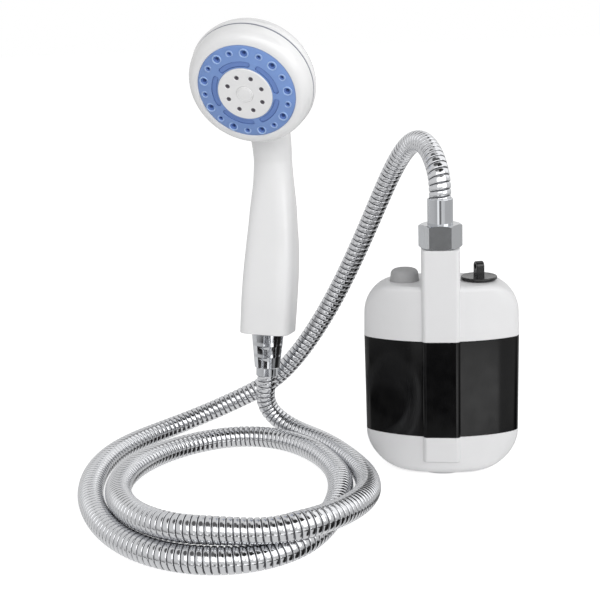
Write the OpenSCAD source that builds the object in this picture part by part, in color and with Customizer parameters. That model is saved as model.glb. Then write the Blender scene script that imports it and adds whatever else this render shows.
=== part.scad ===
// Portable camp shower: rechargeable pump, ribbed metal hose and spray handset.
// Millimetres, Z up. The pump's foot stands on the ground at the origin and its front faces -Y.

/* [Pump body] */
// Width of the body at the upper seam
body_w = 100.8; // [96:0.4:116]
// How much narrower the body is at the lower seam
body_taper = 0.4; // [0:0.1:4]
// Depth of the body without its front rib
body_d = 48.9; // [48:0.1:60]
// How far the front and the back fall away towards the sides
bulge = 14.3; // [10:0.1:15]
// How far each side bows out, on the width
side_bow = 0.8; // [0.4:0.1:1.5]
// How far each side leans in from the upper seam to the top
top_draft = 0.9; // [0:0.1:1.5]
// Height of the top face above the ground
body_h = 128; // [122:1:145]
// Squareness of the plan's corners
plan_power = 9; // [7:0.5:12]
// Corner radius of the top in the front view
top_r = 19.5; // [15:0.5:22]
// Width of the bottom corner's rounding in the front view
bottom_r = 30; // [22:0.5:32]
// Height of the bottom corner's rounding
bottom_rise = 25; // [18:0.5:26]
// Rounding of the top edge at front and back
top_edge = 3.2; // [3:0.1:6]
// Rounding of the bottom edge at front and back
bottom_edge = 5.5; // [5:0.1:8]
// Wall of the moulded shells
wall = 2.6; // [2:0.1:3]
// Ledge inside the lower shell that carries the inner frame
ledge = 2; // [1.5:0.1:3]
// Height of the dark band's lower edge
band_low = 28.5; // [27:0.5:34]
// Height of the dark band's upper edge
band_high = 92.5; // [86:0.5:98]
// Height of the foot ring
foot_h = 2.4; // [1:0.1:3]
// Diameter of the foot ring
foot_d = 34; // [30:1:36]
// Width of the foot ring's rim
foot_rim = 4; // [3:0.5:6]
// Width of the water gap in the foot ring
foot_gap = 10; // [6:1:14]

/* [Outlet column] */
// Width of the front rib and outlet column
column_w = 24.4; // [23:0.2:30]
// Depth of the outlet column
column_d = 24; // [23:0.5:27]
// How far the rib stands out from the front
rib_proud = 1.55; // [1:0.05:4]
// Height of the rib's lower end
rib_low = 11.5; // [8:0.5:20]
// Rise of the column above the top face
column_rise = 24; // [22:1:36]
// Edge radius of the column
column_r = 3; // [1:0.5:6]

/* [Button and port] */
// Diameter of the push button
button_d = 18.8; // [14:0.2:20]
// Height of the button above the top face
button_rise = 8; // [5:0.2:12]
// Distance of the button's middle from the body's left side
button_inset = 27; // [26:0.1:28]
// Width of the lip that keeps the button in
button_lip = 1.2; // [0.8:0.1:1.4]
// Travel of the button
button_travel = 1.5; // [0.8:0.1:1.6]
// Diameter of the rubber port plug's flange
plug_d = 23.4; // [18:0.2:24]
// Thickness of the plug's flange
plug_t = 2.2; // [1.5:0.1:3]
// Diameter of the plug's shank
plug_shank = 12; // [10:0.5:13]
// Width of the plug's pull tab
tab_w = 6.6; // [5:0.2:8]
// Thickness of the pull tab
tab_t = 5.2; // [3:0.2:6]
// Height of the plug's pull tab
tab_h = 9.6; // [8:0.2:12]
// Turn of the pull tab away from facing the front
tab_turn = 70; // [0:5:90]
// Distance of the port's middle from the body's right side
port_inset = 25.8; // [25:0.1:27]

/* [Pump works] */
// Diameter of the motor
motor_d = 24.4; // [20:0.1:25]
// Length of the motor
motor_l = 34; // [30:1:42]
// Diameter of the motor shaft
shaft_d = 2.4; // [2:0.1:3.2]
// How far the motor stands behind the centre
motor_back = 5.4; // [5.2:0.1:5.6]
// Diameter of a battery cell
cell_d = 18.4; // [16:0.1:19]
// Length of a battery cell
cell_l = 65; // [50:1:66]
// Thickness of the inner frame's plate
plate_t = 2.5; // [2:0.1:3.5]
// Wall of the cups on the inner frame
cup_wall = 1.4; // [1:0.1:2]
// Diameter of the impeller
impeller_d = 21; // [18:0.5:21]
// Height of the impeller's blades
blade_h = 6; // [4:0.5:7]
// Number of impeller blades
blades = 6; // [4:1:8]
// Outer diameter of the riser tube
riser_d = 10; // [8:0.2:10.4]
// Bore of the riser tube
riser_bore = 7.5; // [5:0.1:7.6]
// Thickness of the circuit board
board_t = 1.6; // [1:0.1:2]
// Depth of the circuit board below the top face
board_drop = 15; // [14.6:0.1:18]

/* [Hose fittings] */
// Size across the flats of the hex nut
nut_af = 24; // [23.6:0.1:27]
// Height of the hex nut
nut_h = 15; // [14.6:0.1:18]
// Diameter of the outlet spigot
spigot_d = 20.4; // [19:0.1:20.6]
// Length of the spigot above the column
spigot_l = 8.5; // [6:0.1:8.6]
// Thickness of a hose washer
washer_t = 2; // [1.5:0.1:2.1]
// Outer diameter of the pump end ferrule
ferrule_d = 16.2; // [15.6:0.1:17]
// Outer diameter of the hose over its ribs
hose_d = 14; // [13:0.1:14]
// Depth of a rib
rib_depth = 0.9; // [0.4:0.1:1.2]
// Bore of the hose
hose_bore = 8.4; // [6:0.1:9]
// Number of ribs drawn along the hose
hose_ribs = 180; // [120:4:180]

/* [Handset] */
// Length of the handle up to the neck
handle_l = 120; // [110:1:126]
// Width of the handle at its lower end
handle_w = 36.6; // [34:0.2:40]
// Depth of the handle at its lower end
handle_d = 31; // [28:0.5:34]
// Width of the neck
neck_w = 26.6; // [24:0.2:29]
// Depth of the neck
neck_d = 26; // [24:0.5:28]
// Diameter of the head at its seam
head_d = 84; // [80:0.5:90]
// Angle by which the face looks down
face_tilt = 31.7; // [26:0.1:36]
// Distance of the face centre ahead of the handle's foot
face_fwd = 56.2; // [54:0.2:60]
// Height of the face centre above the handle's upper end
head_rise = 47.4; // [44:0.2:54]
// Depth of the turning bezel in front of the seam
bezel_h = 12.5; // [11:0.1:15]
// Depth of the bowl behind the seam
bowl_h = 20; // [18:0.5:24]
// How far the bowl swells beyond the seam
bowl_swell = 0.6; // [0:0.1:1.2]
// Fullness of the bowl's side, smaller is fuller
bowl_full = 0.38; // [0.3:0.02:0.6]
// Wall of the head
head_wall = 2.6; // [2:0.1:3.2]
// Diameter of the blue spray ring
spray_d = 65.8; // [60:0.2:70]
// Diameter of the white centre disc
disc_d = 36.8; // [30:0.2:40]
// How far the centre disc stands ahead of the ring's edge
disc_fwd = 3.7; // [2:0.1:5]
// Diameter of the raised centre cap
cap_d = 11.2; // [8:0.2:12]
// Number of large nozzles, with as many small ones between
nozzles = 9; // [6:1:10]
// Diameter of a large nozzle's rim
nozzle_d = 6.2; // [4:0.1:6.4]
// Angle of the first large nozzle
nozzle_turn = 3.5; // [0:0.5:20]
// Number of jets in the centre disc
jets = 8; // [6:1:10]
// Diameter of a jet
jet_d = 3; // [2:0.1:3.6]
// Diameter of the pivot on which the face turns
pivot_d = 4; // [3:0.1:5]
// Thickness of the grey seam ring
seam_t = 0.8; // [0.6:0.1:1.2]
// Bore of the handle
handle_bore = 9; // [7:0.5:11]
// Length of the cone nut
cone_l = 26; // [25:0.5:30]
// Upper diameter of the cone nut
cone_top = 23; // [22.6:0.2:26]
// Lower diameter of the cone nut
cone_low = 18; // [17.6:0.1:19]
// Diameter of the handset's inlet spigot
inlet_d = 18; // [16:0.1:18.4]
// Length of the handset's inlet spigot
inlet_l = 11; // [8:0.5:11]
// Outer diameter of the sleeve at the handset end
sleeve_d = 15.8; // [15.4:0.1:16]
// Length of the sleeve below the cone nut
sleeve_out = 6; // [4:0.5:8]

/* [Clearances] */
// Gap between pieces that move past each other
move_gap = 0.3; // [0.3:0.05:0.5]
// Radial clearance of a running fit
run_fit = 0.05; // [0.02:0.01:0.09]
// Radial clearance of a seated piece
seat_fit = 0.1; // [0.05:0.05:0.2]

/* [Hidden] */
$fn = 64;

// Pump places
plan_points = 64;
button_x = body_w / 2 - button_inset;
port_x = body_w / 2 - port_inset;
outlet_y = body_d / 2 + rib_proud - column_d / 2;
column_top = body_h + column_rise;
intake_r = foot_d / 2 - foot_rim;
floor_top = foot_h + wall;
plate_z = band_low;
cell_x = (body_w - body_taper) / 2 - wall - cup_wall - cell_d / 2 - 5;
cup_h = cell_l * 0.4;
chamber_r = impeller_d / 2 + 1 + wall;
chamber_z = floor_top + 4.4;
outlet_z = chamber_z + wall + 6;
socket_r = riser_d / 2 + seat_fit + 1.2;
board_z = body_h - board_drop - board_t;
nut_z = column_top + move_gap;
collar_z = column_top + spigot_l + washer_t;
collar_t = 2;
ferrule_seat = 18;
ferrule_top = 31.5;

// Handset places
handset_at = [-123.3, 50, 80];
handset_turn = [-5.2, 2.1, -9.2];
face_up = handle_l + head_rise;
bead_h = 0.35;
sleeve_seat = 18;

// Points around a plan outline with half width a, half depth b and squareness p
function plan(a, b, p, k) = [
    for (i = [0:k - 1])
        let (c = cos(360 * i / k), s = sin(360 * i / k))
        [a * sign(c) * pow(abs(c), 2 / p), b * sign(s) * pow(abs(s), 2 / p)]
];

// Loss of half width at depth d into an end corner of width r and height h
function corner(d, r, h) = d <= 0 ? 0 : r - r * sqrt(max(0, 1 - d * d / (h * h)));

// Points around the casing's plan, crowded at its corners
function casing_plan(a, b) = [
    for (i = [0:plan_points - 1])
        let (
            t = 360 * i / plan_points + 10 * sin(1440 * i / plan_points),
            n = pow(pow(abs(cos(t)), plan_power) + pow(abs(sin(t)), plan_power), 1 / plan_power),
            x = cos(t) / n * (a - side_bow * pow(sin(t) / n, 2))
        )
        [x, sin(t) / n * (b - bulge * pow(2 * x / body_w, 2))]
];

// Half width and half depth of the body at height z, lying w inside its surface
function body_a(z, w) =
    body_w / 2 - w - body_taper / 2 * max(0, min(1, (band_high - z) / (band_high - band_low)))
    - top_draft * max(0, (z - band_high) / (body_h - band_high))
    - corner(z - (body_h - top_r), top_r - w, top_r - w)
    - corner(foot_h + bottom_rise - z, bottom_r - w, bottom_rise - w);
function body_b(z, w) =
    body_d / 2 - w - corner(z - (body_h - top_edge), top_edge - w, top_edge - w)
    - corner(foot_h + bottom_edge - z, bottom_edge - w, bottom_edge - w);

// Ring of the body at height z
function body_ring(z, w) = [
    for (q = casing_plan(body_a(z, w), body_b(z, w)))
        [q[0], q[1], z]
];

// Heights from z0 to z1 that crowd towards the rounded end
function rise_levels(z0, z1, k) = [for (i = [0:k]) z0 + (z1 - z0) * sin(90 * i / k)];
function fall_levels(z0, z1, k) = [for (i = [0:k]) z1 - (z1 - z0) * cos(90 * i / k)];

// Closed solid through a stack of rings that run anticlockwise seen from the far end
module skin(rings) {
    n = len(rings[0]);
    m = len(rings);
    points = [for (r = rings) for (q = r) q];
    sides = [
        for (i = [0:m - 2]) for (j = [0:n - 1])
            let (a = i * n + j, b = i * n + (j + 1) % n, c = a + n, d = b + n)
            each [[a, c, d], [a, d, b]]
    ];
    polyhedron(
        points,
        concat([[for (j = [0:n - 1]) j]], sides, [[for (j = [0:n - 1]) m * n - 1 - j]]),
        convexity = 6
    );
}

module plan_plate(z, h, w) {
    translate([0, 0, z])
        linear_extrude(h)
            polygon(casing_plan(body_a(z, w), body_b(z, w)));
}

// Plan of the front rib and column
module column_plan() {
    translate([0, -outlet_y]) {
        square([column_w, column_d - 2 * column_r], center = true);
        square([column_w - 2 * column_r, column_d], center = true);
        for (x = [-1, 1]) for (y = [-1, 1])
            translate([x * (column_w / 2 - column_r), y * (column_d / 2 - column_r)])
                circle(column_r, $fn = 32);
    }
}

module column(z0, z1) {
    translate([0, 0, z0])
        linear_extrude(z1 - z0)
            column_plan();
}

module upper_shell() {
    color("whitesmoke")
        difference() {
            union() {
                skin([for (z = rise_levels(band_high, body_h, 15)) body_ring(z, 0)]);
                column(band_high, column_top);
                // Seats of the button and the port, level with the top face
                translate([-button_x, 0, body_h - 4])
                    cylinder(r = button_d / 2 + 1.6, h = 4);
                translate([port_x, 0, body_h - 4])
                    cylinder(r = plug_d / 2 + 0.8, h = 4);
            }
            skin([for (z = rise_levels(band_high - 1, body_h - wall, 9)) body_ring(max(z, band_high - 1), wall)]);
            translate([-button_x, 0, body_h - 9])
                cylinder(r = button_d / 2 + move_gap, h = 20);
            translate([port_x, 0, body_h - 9])
                cylinder(r = plug_shank / 2 + move_gap, h = 20);
            translate([-button_x, 0, body_h - 9])
                cylinder(r = button_d / 2 + button_lip + move_gap, h = 9 - wall);
            translate([0, -outlet_y, body_h - top_edge - wall])
                cylinder(r = riser_d / 2 + seat_fit, h = column_rise + top_edge + wall + 1);
            translate([0, -outlet_y, column_top - 12])
                cylinder(r = spigot_d / 2 - 2 + seat_fit, h = 13);
        }
    // Posts that hold the circuit board
    color("whitesmoke")
        for (x = [-1, 1])
            translate([x * 8, body_d / 2 - 16, board_z + board_t])
                cylinder(d = 6, h = body_h - wall - board_z - board_t + 0.5);
}

module band_sleeve() {
    color("black")
        difference() {
            union() {
                skin([body_ring(band_low, 0), body_ring(band_high, 0)]);
                column(band_low, band_high);
            }
            skin([for (z = [band_low - 1, band_high + 1]) body_ring(z, wall)]);
        }
}

module bottom_shell() {
    color("whitesmoke")
        difference() {
            union() {
                skin([for (z = fall_levels(foot_h, band_low, 13)) body_ring(z, 0)]);
                column(rib_low, band_low);
                cylinder(d = foot_d, h = foot_h + 0.5);
            }
            skin([for (z = fall_levels(floor_top, band_low + 1, 9)) body_ring(z, wall + ledge)]);
            translate([0, 0, -1])
                cylinder(r = intake_r, h = floor_top + 2);
            translate([-foot_gap / 2, intake_r - 2, -1])
                cube([foot_gap, foot_rim + 4, foot_h + 1]);
            // Relief for the riser's socket
            translate([0, -outlet_y, outlet_z - riser_d / 2 - move_gap])
                cylinder(r = socket_r + move_gap, h = band_low);
        }
}

module inlet_strainer() {
    color("dimgray")
        difference() {
            union() {
                translate([0, 0, floor_top])
                    cylinder(r = intake_r + 2, h = 1.4);
                translate([0, 0, foot_h])
                    cylinder(r = intake_r - seat_fit, h = wall + 0.5);
            }
            for (i = [-2:2])
                translate([i * intake_r / 3 - intake_r / 14, -sqrt(intake_r * intake_r * (1 - i * i / 9)) + 2, 0])
                    cube([intake_r / 7, 2 * sqrt(intake_r * intake_r * (1 - i * i / 9)) - 4, 20]);
        }
}

module inner_frame() {
    color("darkslategray")
        difference() {
            union() {
                plan_plate(plate_z, plate_t, wall + move_gap);
                for (x = [-1, 1])
                    translate([x * cell_x, 0, plate_z])
                        cylinder(r = cell_d / 2 + seat_fit + cup_wall, h = plate_t + cup_h);
                translate([0, motor_back, plate_z])
                    cylinder(r = motor_d / 2 + seat_fit + cup_wall, h = plate_t + motor_l * 0.3);
            }
            for (x = [-1, 1])
                translate([x * cell_x, 0, plate_z + plate_t])
                    cylinder(r = cell_d / 2 + seat_fit, h = cell_l);
            translate([0, motor_back, plate_z + plate_t])
                cylinder(r = motor_d / 2 + seat_fit, h = motor_l);
            translate([0, motor_back, plate_z - 1])
                cylinder(r = shaft_d / 2 + 1, h = plate_t + 2);
            translate([0, -outlet_y, plate_z - 1])
                cylinder(r = riser_d / 2 + seat_fit, h = plate_t + 2);
        }
}

module pump_chamber() {
    color("gray")
        difference() {
            union() {
                translate([0, motor_back, chamber_z])
                    cylinder(r = chamber_r, h = plate_z - chamber_z);
                translate([0, motor_back, outlet_z])
                    rotate([90, 0, 0])
                        cylinder(r = socket_r, h = motor_back + outlet_y);
                translate([0, -outlet_y, outlet_z - riser_d / 2])
                    cylinder(r = socket_r, h = plate_z - outlet_z + riser_d / 2);
            }
            // Working space of the impeller
            translate([0, motor_back, chamber_z + wall])
                cylinder(r = impeller_d / 2 + 1, h = plate_z - chamber_z - 2 * wall);
            translate([0, motor_back, chamber_z - 1])
                cylinder(r = impeller_d / 5, h = wall + 2);
            translate([0, motor_back, plate_z - wall - 1])
                cylinder(r = shaft_d / 2 + run_fit, h = wall + 2);
            translate([0, motor_back, outlet_z])
                rotate([90, 0, 0])
                    cylinder(r = riser_bore / 2, h = motor_back + outlet_y);
            translate([0, -outlet_y, outlet_z])
                cylinder(r = riser_bore / 2, h = riser_d);
            translate([0, -outlet_y, outlet_z + riser_bore / 2 + 1])
                cylinder(r = riser_d / 2 + seat_fit, h = plate_z);
        }
}

module blade() {
    linear_extrude(blade_h)
        difference() {
            translate([impeller_d / 4, 0])
                circle(impeller_d / 4 - 0.6);
            translate([impeller_d / 4, -1.4])
                circle(impeller_d / 4);
            translate([-impeller_d, -impeller_d])
                square([2 * impeller_d, impeller_d]);
        }
}

module impeller() {
    color("gold")
        translate([0, motor_back, 0]) {
            translate([0, 0, chamber_z + wall + 0.8]) {
                cylinder(d = impeller_d, h = 1.4);
                cylinder(d = shaft_d + 4, h = blade_h + 1.4);
                for (i = [0:blades - 1])
                    rotate([0, 0, i * 360 / blades])
                        translate([0, 0, 1])
                            blade();
            }
            translate([0, 0, chamber_z + wall + 1.4])
                cylinder(d = shaft_d, h = plate_z + plate_t + motor_l - 6 - chamber_z);
        }
}

module motor_can() {
    color("silver")
        translate([0, motor_back, plate_z + plate_t])
            difference() {
                union() {
                    cylinder(d = motor_d, h = motor_l - 2);
                    cylinder(d = motor_d / 3, h = motor_l);
                }
                translate([0, 0, -1])
                    cylinder(r = shaft_d / 2 + run_fit, h = motor_l - 1);
            }
}

module battery_cells() {
    color("royalblue")
        for (x = [-1, 1])
            translate([x * cell_x, 0, plate_z + plate_t]) {
                cylinder(d = cell_d, h = cell_l - 1.2);
                cylinder(d = cell_d * 0.35, h = cell_l);
            }
}

module riser_tube() {
    z0 = outlet_z + riser_bore / 2 + 1;
    color("lightgray")
        translate([0, -outlet_y, z0])
            difference() {
                cylinder(d = riser_d, h = column_top - 12 - z0);
                translate([0, 0, -1])
                    cylinder(d = riser_bore, h = column_top);
            }
}

module circuit_board() {
    color("darkgreen")
        difference() {
            translate([-button_x - 8, -8, board_z])
                cube([button_x + port_x + 16, body_d / 2 - 2, board_t]);
        }
}

module tact_switch() {
    color("dimgray")
        translate([-button_x, 0, board_z + board_t]) {
            translate([-6, -6, 0])
                cube([12, 12, 3.4]);
            cylinder(d = 6, h = body_h - wall - 4.4 - board_z - board_t - button_travel - 0.4);
        }
}

module charge_socket() {
    color("dimgray")
        translate([port_x, 0, board_z + board_t])
            difference() {
                cylinder(d = plug_shank - 1, h = board_drop - 6.4);
                translate([0, 0, 2])
                    cylinder(d = plug_shank - 5, h = board_drop);
                translate([0, 0, 2])
                    difference() {
                        cylinder(d = plug_shank - 2.4, h = board_drop);
                        translate([0, 0, -1])
                            cylinder(d = plug_shank - 3.6, h = board_drop);
                    }
            }
}

module power_button() {
    r = button_d / 2;
    lip = body_h - wall - move_gap;
    color("gray")
        translate([-button_x, 0, 0])
            rotate_extrude()
                polygon(concat(
                    [[0, lip - 4.1], [3, lip - 4.1], [3, lip - 2], [r + button_lip, lip - 2]],
                    [[r + button_lip, lip], [r, lip]],
                    [[r, body_h + button_rise * 0.55]],
                    [for (t = [15:15:75])
                        [r - 4 + 4 * cos(t), body_h + button_rise * 0.55 + button_rise * 0.36 * sin(t)]],
                    [[r - 4, body_h + button_rise * 0.91], [r * 0.3, body_h + button_rise * 0.98]],
                    [[0, body_h + button_rise]]
                ));
}

module port_plug() {
    color("black")
        translate([port_x, 0, body_h + move_gap])
            difference() {
                union() {
                    cylinder(d = plug_d, h = plug_t - 0.6);
                    cylinder(d = plug_d - 1.4, h = plug_t);
                    translate([0, 0, -5.6])
                        cylinder(d = plug_shank, h = 6);
                    rotate([0, 0, -tab_turn]) {
                        translate([-tab_w / 2, -tab_t / 2, plug_t - 0.2])
                            cube([tab_w, tab_t, tab_h - tab_w / 2 + 0.2]);
                        translate([0, tab_t / 2, plug_t + tab_h - tab_w / 2])
                            rotate([90, 0, 0])
                                cylinder(d = tab_w, h = tab_t);
                    }
                }
                rotate([0, 0, -tab_turn])
                    translate([0, tab_t, plug_t + tab_h - tab_w / 2])
                        rotate([90, 0, 0])
                            cylinder(d = tab_w * 0.45, h = 2 * tab_t);
            }
}

module outlet_spigot() {
    color("silver")
        translate([0, -outlet_y, column_top])
            difference() {
                union() {
                    cylinder(d = spigot_d, h = spigot_l);
                    translate([0, 0, -12])
                        cylinder(d = spigot_d - 4, h = 12.5);
                }
                translate([0, 0, -13])
                    cylinder(d = riser_bore, h = spigot_l + 14);
            }
}

module hose_washer() {
    color("black")
        translate([0, -outlet_y, column_top + spigot_l])
            difference() {
                cylinder(d = spigot_d - 0.8, h = washer_t);
                translate([0, 0, -1])
                    cylinder(d = hose_bore + 1, h = washer_t + 2);
            }
}

module hose_nut() {
    lip_z = collar_z + collar_t + move_gap - nut_z;
    rc = nut_af / sqrt(3);
    color("silver")
        translate([0, -outlet_y, nut_z])
            difference() {
                intersection() {
                    linear_extrude(nut_h)
                        circle(rc, $fn = 6);
                    rotate_extrude()
                        polygon([
                            [0, 0], [nut_af / 2 + 0.3, 0], [rc + 0.1, 1], [rc + 0.1, nut_h - 1],
                            [nut_af / 2 + 0.3, nut_h], [0, nut_h]
                        ]);
                }
                translate([0, 0, -1])
                    cylinder(r = spigot_d / 2 + run_fit, h = lip_z + 1);
                cylinder(r = ferrule_d / 2 + run_fit, h = nut_h + 1);
            }
}

module pump_ferrule() {
    color("silver")
        translate([0, -outlet_y, 0])
            difference() {
                union() {
                    translate([0, 0, collar_z])
                        cylinder(d = spigot_d - 0.4, h = collar_t);
                    translate([0, 0, collar_z])
                        cylinder(d = ferrule_d, h = column_top + ferrule_top - collar_z - 0.6);
                    translate([0, 0, collar_z])
                        cylinder(d = ferrule_d - 0.8, h = column_top + ferrule_top - collar_z);
                }
                translate([0, 0, collar_z - 1])
                    cylinder(d = hose_bore, h = 40);
                translate([0, 0, column_top + ferrule_seat])
                    cylinder(r = hose_d / 2 + seat_fit, h = 40);
            }
}

// Turn by the angles a about X, Y and Z
function turned(v, a) =
    let (
        p = [v[0], v[1] * cos(a[0]) - v[2] * sin(a[0]), v[1] * sin(a[0]) + v[2] * cos(a[0])],
        q = [p[0] * cos(a[1]) + p[2] * sin(a[1]), p[1], p[2] * cos(a[1]) - p[0] * sin(a[1])]
    )
    [q[0] * cos(a[2]) - q[1] * sin(a[2]), q[0] * sin(a[2]) + q[1] * cos(a[2]), q[2]];

// A point on the handset's axis, h below its handle
function below(h) = handset_at + turned([0, 0, -h], handset_turn);

// Route of the hose: out of the pump and over the arch, two turns on the ground, up to the handset
arch_route = [
    [0, -outlet_y, column_top + ferrule_seat], [0, -outlet_y, column_top + ferrule_seat + 7],
    [0, -14, 184], [0, -13, 195], [-3, -4, 207], [-9, 14, 216], [-17, 34, 216], [-26, 50, 205], [-35, 59, 188],
    [-47, 65, 161], [-62, 69, 128], [-79, 70, 95], [-97, 70, 67], [-115, 69, 45], [-133, 67, 32], [-151, 64, 24],
    [-173, 59, 15], [-198, 46, 8]
];
coil_route = [
    [-217, 21, 7], [-228, -9, 7], [-229, -43, 7], [-222, -78, 7], [-208, -109, 7], [-188, -137, 7],
    [-160, -158, 7], [-127, -166, 7], [-96, -158, 7], [-75, -137, 7], [-66, -108, 7], [-62, -78, 7],
    [-64, -46, 7], [-74, -16, 7], [-92, 11, 7], [-118, 30, 7], [-148, 32, 7], [-176, 16, 7], [-196, -11, 8],
    [-205, -44, 10], [-203, -77, 13], [-193, -109, 17], [-174, -139, 21], [-147, -157, 22], [-115, -158, 22],
    [-85, -155, 22], [-62, -138, 22], [-48, -107, 17], [-44, -73, 11], [-48, -42, 8], [-61, -9, 7], [-82, 23, 7]
];
rise_route = [
    [-98, 38, 7], [-112, 47, 10], [-125, 51, 19], [-128, 49, 32],
    below(39), below(sleeve_seat + 14), below(sleeve_seat + 7), below(sleeve_seat)
];
route = concat(arch_route, coil_route, rise_route);
last = len(route) - 1;
held = concat([2 * route[0] - route[1]], route, [2 * route[last] - route[last - 1]]);

// Smooth curve near the route's points
function blend(i, t) = (
    pow(1 - t, 3) * held[i - 1] + (3 * t * t * t - 6 * t * t + 4) * held[i]
    + (-3 * t * t * t + 3 * t * t + 3 * t + 1) * held[i + 1] + t * t * t * held[i + 2]
) / 6;
steps = 12;
curve = concat([for (i = [1:last]) for (k = [0:steps - 1]) blend(i, k / steps)], [route[last]]);
far = [
    for (i = 0, s = 0; i < len(curve); s = i + 1 < len(curve) ? s + norm(curve[i + 1] - curve[i]) : s, i = i + 1) s
];
hose_len = far[len(far) - 1];
xs = [for (i = [0:len(curve) - 1]) [far[i], curve[i][0]]];
ys = [for (i = [0:len(curve) - 1]) [far[i], curve[i][1]]];
zs = [for (i = [0:len(curve) - 1]) [far[i], curve[i][2]]];
function at(s) = [lookup(s, xs), lookup(s, ys), lookup(s, zs)];
function unit(v) = v / norm(v);
function heading(s) = unit(at(min(s + 1.5, hose_len)) - at(max(s - 1.5, 0)));

// Two rings to a rib: even rings lie in a groove, odd rings on a crest
ring_n = 2 * hose_ribs;
ring_s = [for (k = [0:ring_n]) hose_len * k / ring_n];
ring_c = [for (s = ring_s) at(s)];
ring_t = [for (s = ring_s) heading(s)];
ring_u = [
    for (
        k = 0, u = [1, 0, 0];
        k <= ring_n;
        k = k + 1, u = k <= ring_n ? unit(u - (u * ring_t[k]) * ring_t[k]) : u
    ) u
];
function hose_ring(k, r) = [
    for (j = [0:7])
        ring_c[k] + r * (cos(45 * j) * ring_u[k] + sin(45 * j) * cross(ring_t[k], ring_u[k]))
];

// Ring at which the curve passes a route point
function ring_at(i) = 2 * round(far[i * steps] / hose_len * hose_ribs);
coil_from = ring_at(len(arch_route));
coil_to = ring_at(len(arch_route) + len(coil_route) - 1);

module hose(k0, k1) {
    r = hose_d / 2;
    n = k1 - k0;
    m = n / 2;
    base = 8 * (n + 1);
    points = concat(
        [for (k = [k0:k1]) each hose_ring(k, k % 2 == 0 ? r - rib_depth : r)],
        [for (k = [k0:2:k1]) each hose_ring(k, hose_bore / 2)]
    );
    outside = [
        for (i = [0:n - 1]) for (j = [0:7])
            let (a = 8 * i + j, b = 8 * i + (j + 1) % 8)
            each [[a, a + 8, b + 8], [a, b + 8, b]]
    ];
    inside = [
        for (i = [0:m - 1]) for (j = [0:7])
            let (a = base + 8 * i + j, b = base + 8 * i + (j + 1) % 8)
            each [[a, b + 8, a + 8], [a, b, b + 8]]
    ];
    near = [
        for (j = [0:7])
            let (a = j, b = (j + 1) % 8, c = base + a, d = base + b)
            each [[a, b, d], [a, d, c]]
    ];
    end = [
        for (j = [0:7])
            let (a = 8 * n + j, b = 8 * n + (j + 1) % 8, c = base + 8 * m + j, d = base + 8 * m + (j + 1) % 8)
            each [[a, d, b], [a, c, d]]
    ];
    polyhedron(points, concat(outside, inside, near, end), convexity = 10);
}

// Least gap of the hose to itself, between stretches more than six ribs apart
function least(v) = min([for (q = v) q]);
union() {
    gap = least([
        for (i = [1:2:ring_n]) for (j = [i + 12:2:ring_n])
            norm(ring_c[i] - ring_c[j])
    ]) - hose_d;
    echo(str("hose length ", hose_len, " least gap to itself ", gap));
}

module hose_arch() {
    color("silver")
        hose(0, coil_from);
}

module hose_coil() {
    color("silver")
        hose(coil_from, coil_to);
}

module hose_rise() {
    color("silver")
        hose(coil_to, ring_n);
}

module in_handset() {
    translate(handset_at)
        rotate(handset_turn)
            children();
}

// Frame of the spray face: its axis is Z and the blue ring's edge lies at zero
module in_face() {
    in_handset()
        translate([0, -face_fwd, face_up])
            rotate([90 + face_tilt, 0, 0])
                children();
}

inlet_end = inlet_l + move_gap;
sleeve_collar = inlet_end + washer_t;
sleeve_end = cone_l + sleeve_out;

module inlet_spigot() {
    color("gainsboro")
        in_handset()
            difference() {
                union() {
                    translate([0, 0, -inlet_end])
                        cylinder(d = inlet_d, h = inlet_end);
                    cylinder(d = inlet_d - 4, h = 12);
                }
                translate([0, 0, -inlet_end - 1])
                    cylinder(d = handle_bore, h = inlet_end + 14);
            }
}

module cone_washer() {
    color("black")
        in_handset()
            translate([0, 0, -sleeve_collar])
                difference() {
                    cylinder(d = inlet_d - 0.8, h = washer_t);
                    translate([0, 0, -1])
                        cylinder(d = hose_bore + 1, h = washer_t + 2);
                }
}

module hose_sleeve() {
    color("silver")
        in_handset()
            difference() {
                union() {
                    translate([0, 0, -sleeve_collar - collar_t])
                        cylinder(d = inlet_d - 0.4, h = collar_t);
                    translate([0, 0, -sleeve_end])
                        cylinder(d = sleeve_d, h = sleeve_end - sleeve_collar);
                }
                translate([0, 0, -sleeve_end - 1])
                    cylinder(d = hose_bore, h = sleeve_end + 1);
                translate([0, 0, -sleeve_end - 1])
                    cylinder(r = hose_d / 2 + seat_fit, h = sleeve_end + 1 - sleeve_seat);
            }
}

// Radius of the cone nut at depth h, with two shallow grip beads
function cone_r(h) =
    cone_top / 2 - (cone_top - cone_low) / 2 * h / cone_l
    + bead_h * (exp(-pow((h - cone_l * 0.36) / 1.4, 2)) + exp(-pow((h - cone_l * 0.68) / 1.4, 2)));

module cone_nut() {
    lip = sleeve_collar + collar_t + move_gap;
    color("silver")
        in_handset()
            difference() {
                rotate_extrude()
                    polygon(concat(
                        [[0, -move_gap], [cone_top / 2 - 0.6, -move_gap]],
                        [for (h = [move_gap + 0.6:cone_l / 26:cone_l - 0.6]) [cone_r(h), -h]],
                        [[cone_low / 2 - 0.5, -cone_l], [0, -cone_l]]
                    ));
                translate([0, 0, -lip])
                    cylinder(r = inlet_d / 2 + run_fit, h = lip);
                translate([0, 0, -cone_l - 1])
                    cylinder(r = sleeve_d / 2 + run_fit, h = cone_l + 1);
            }
}

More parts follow.
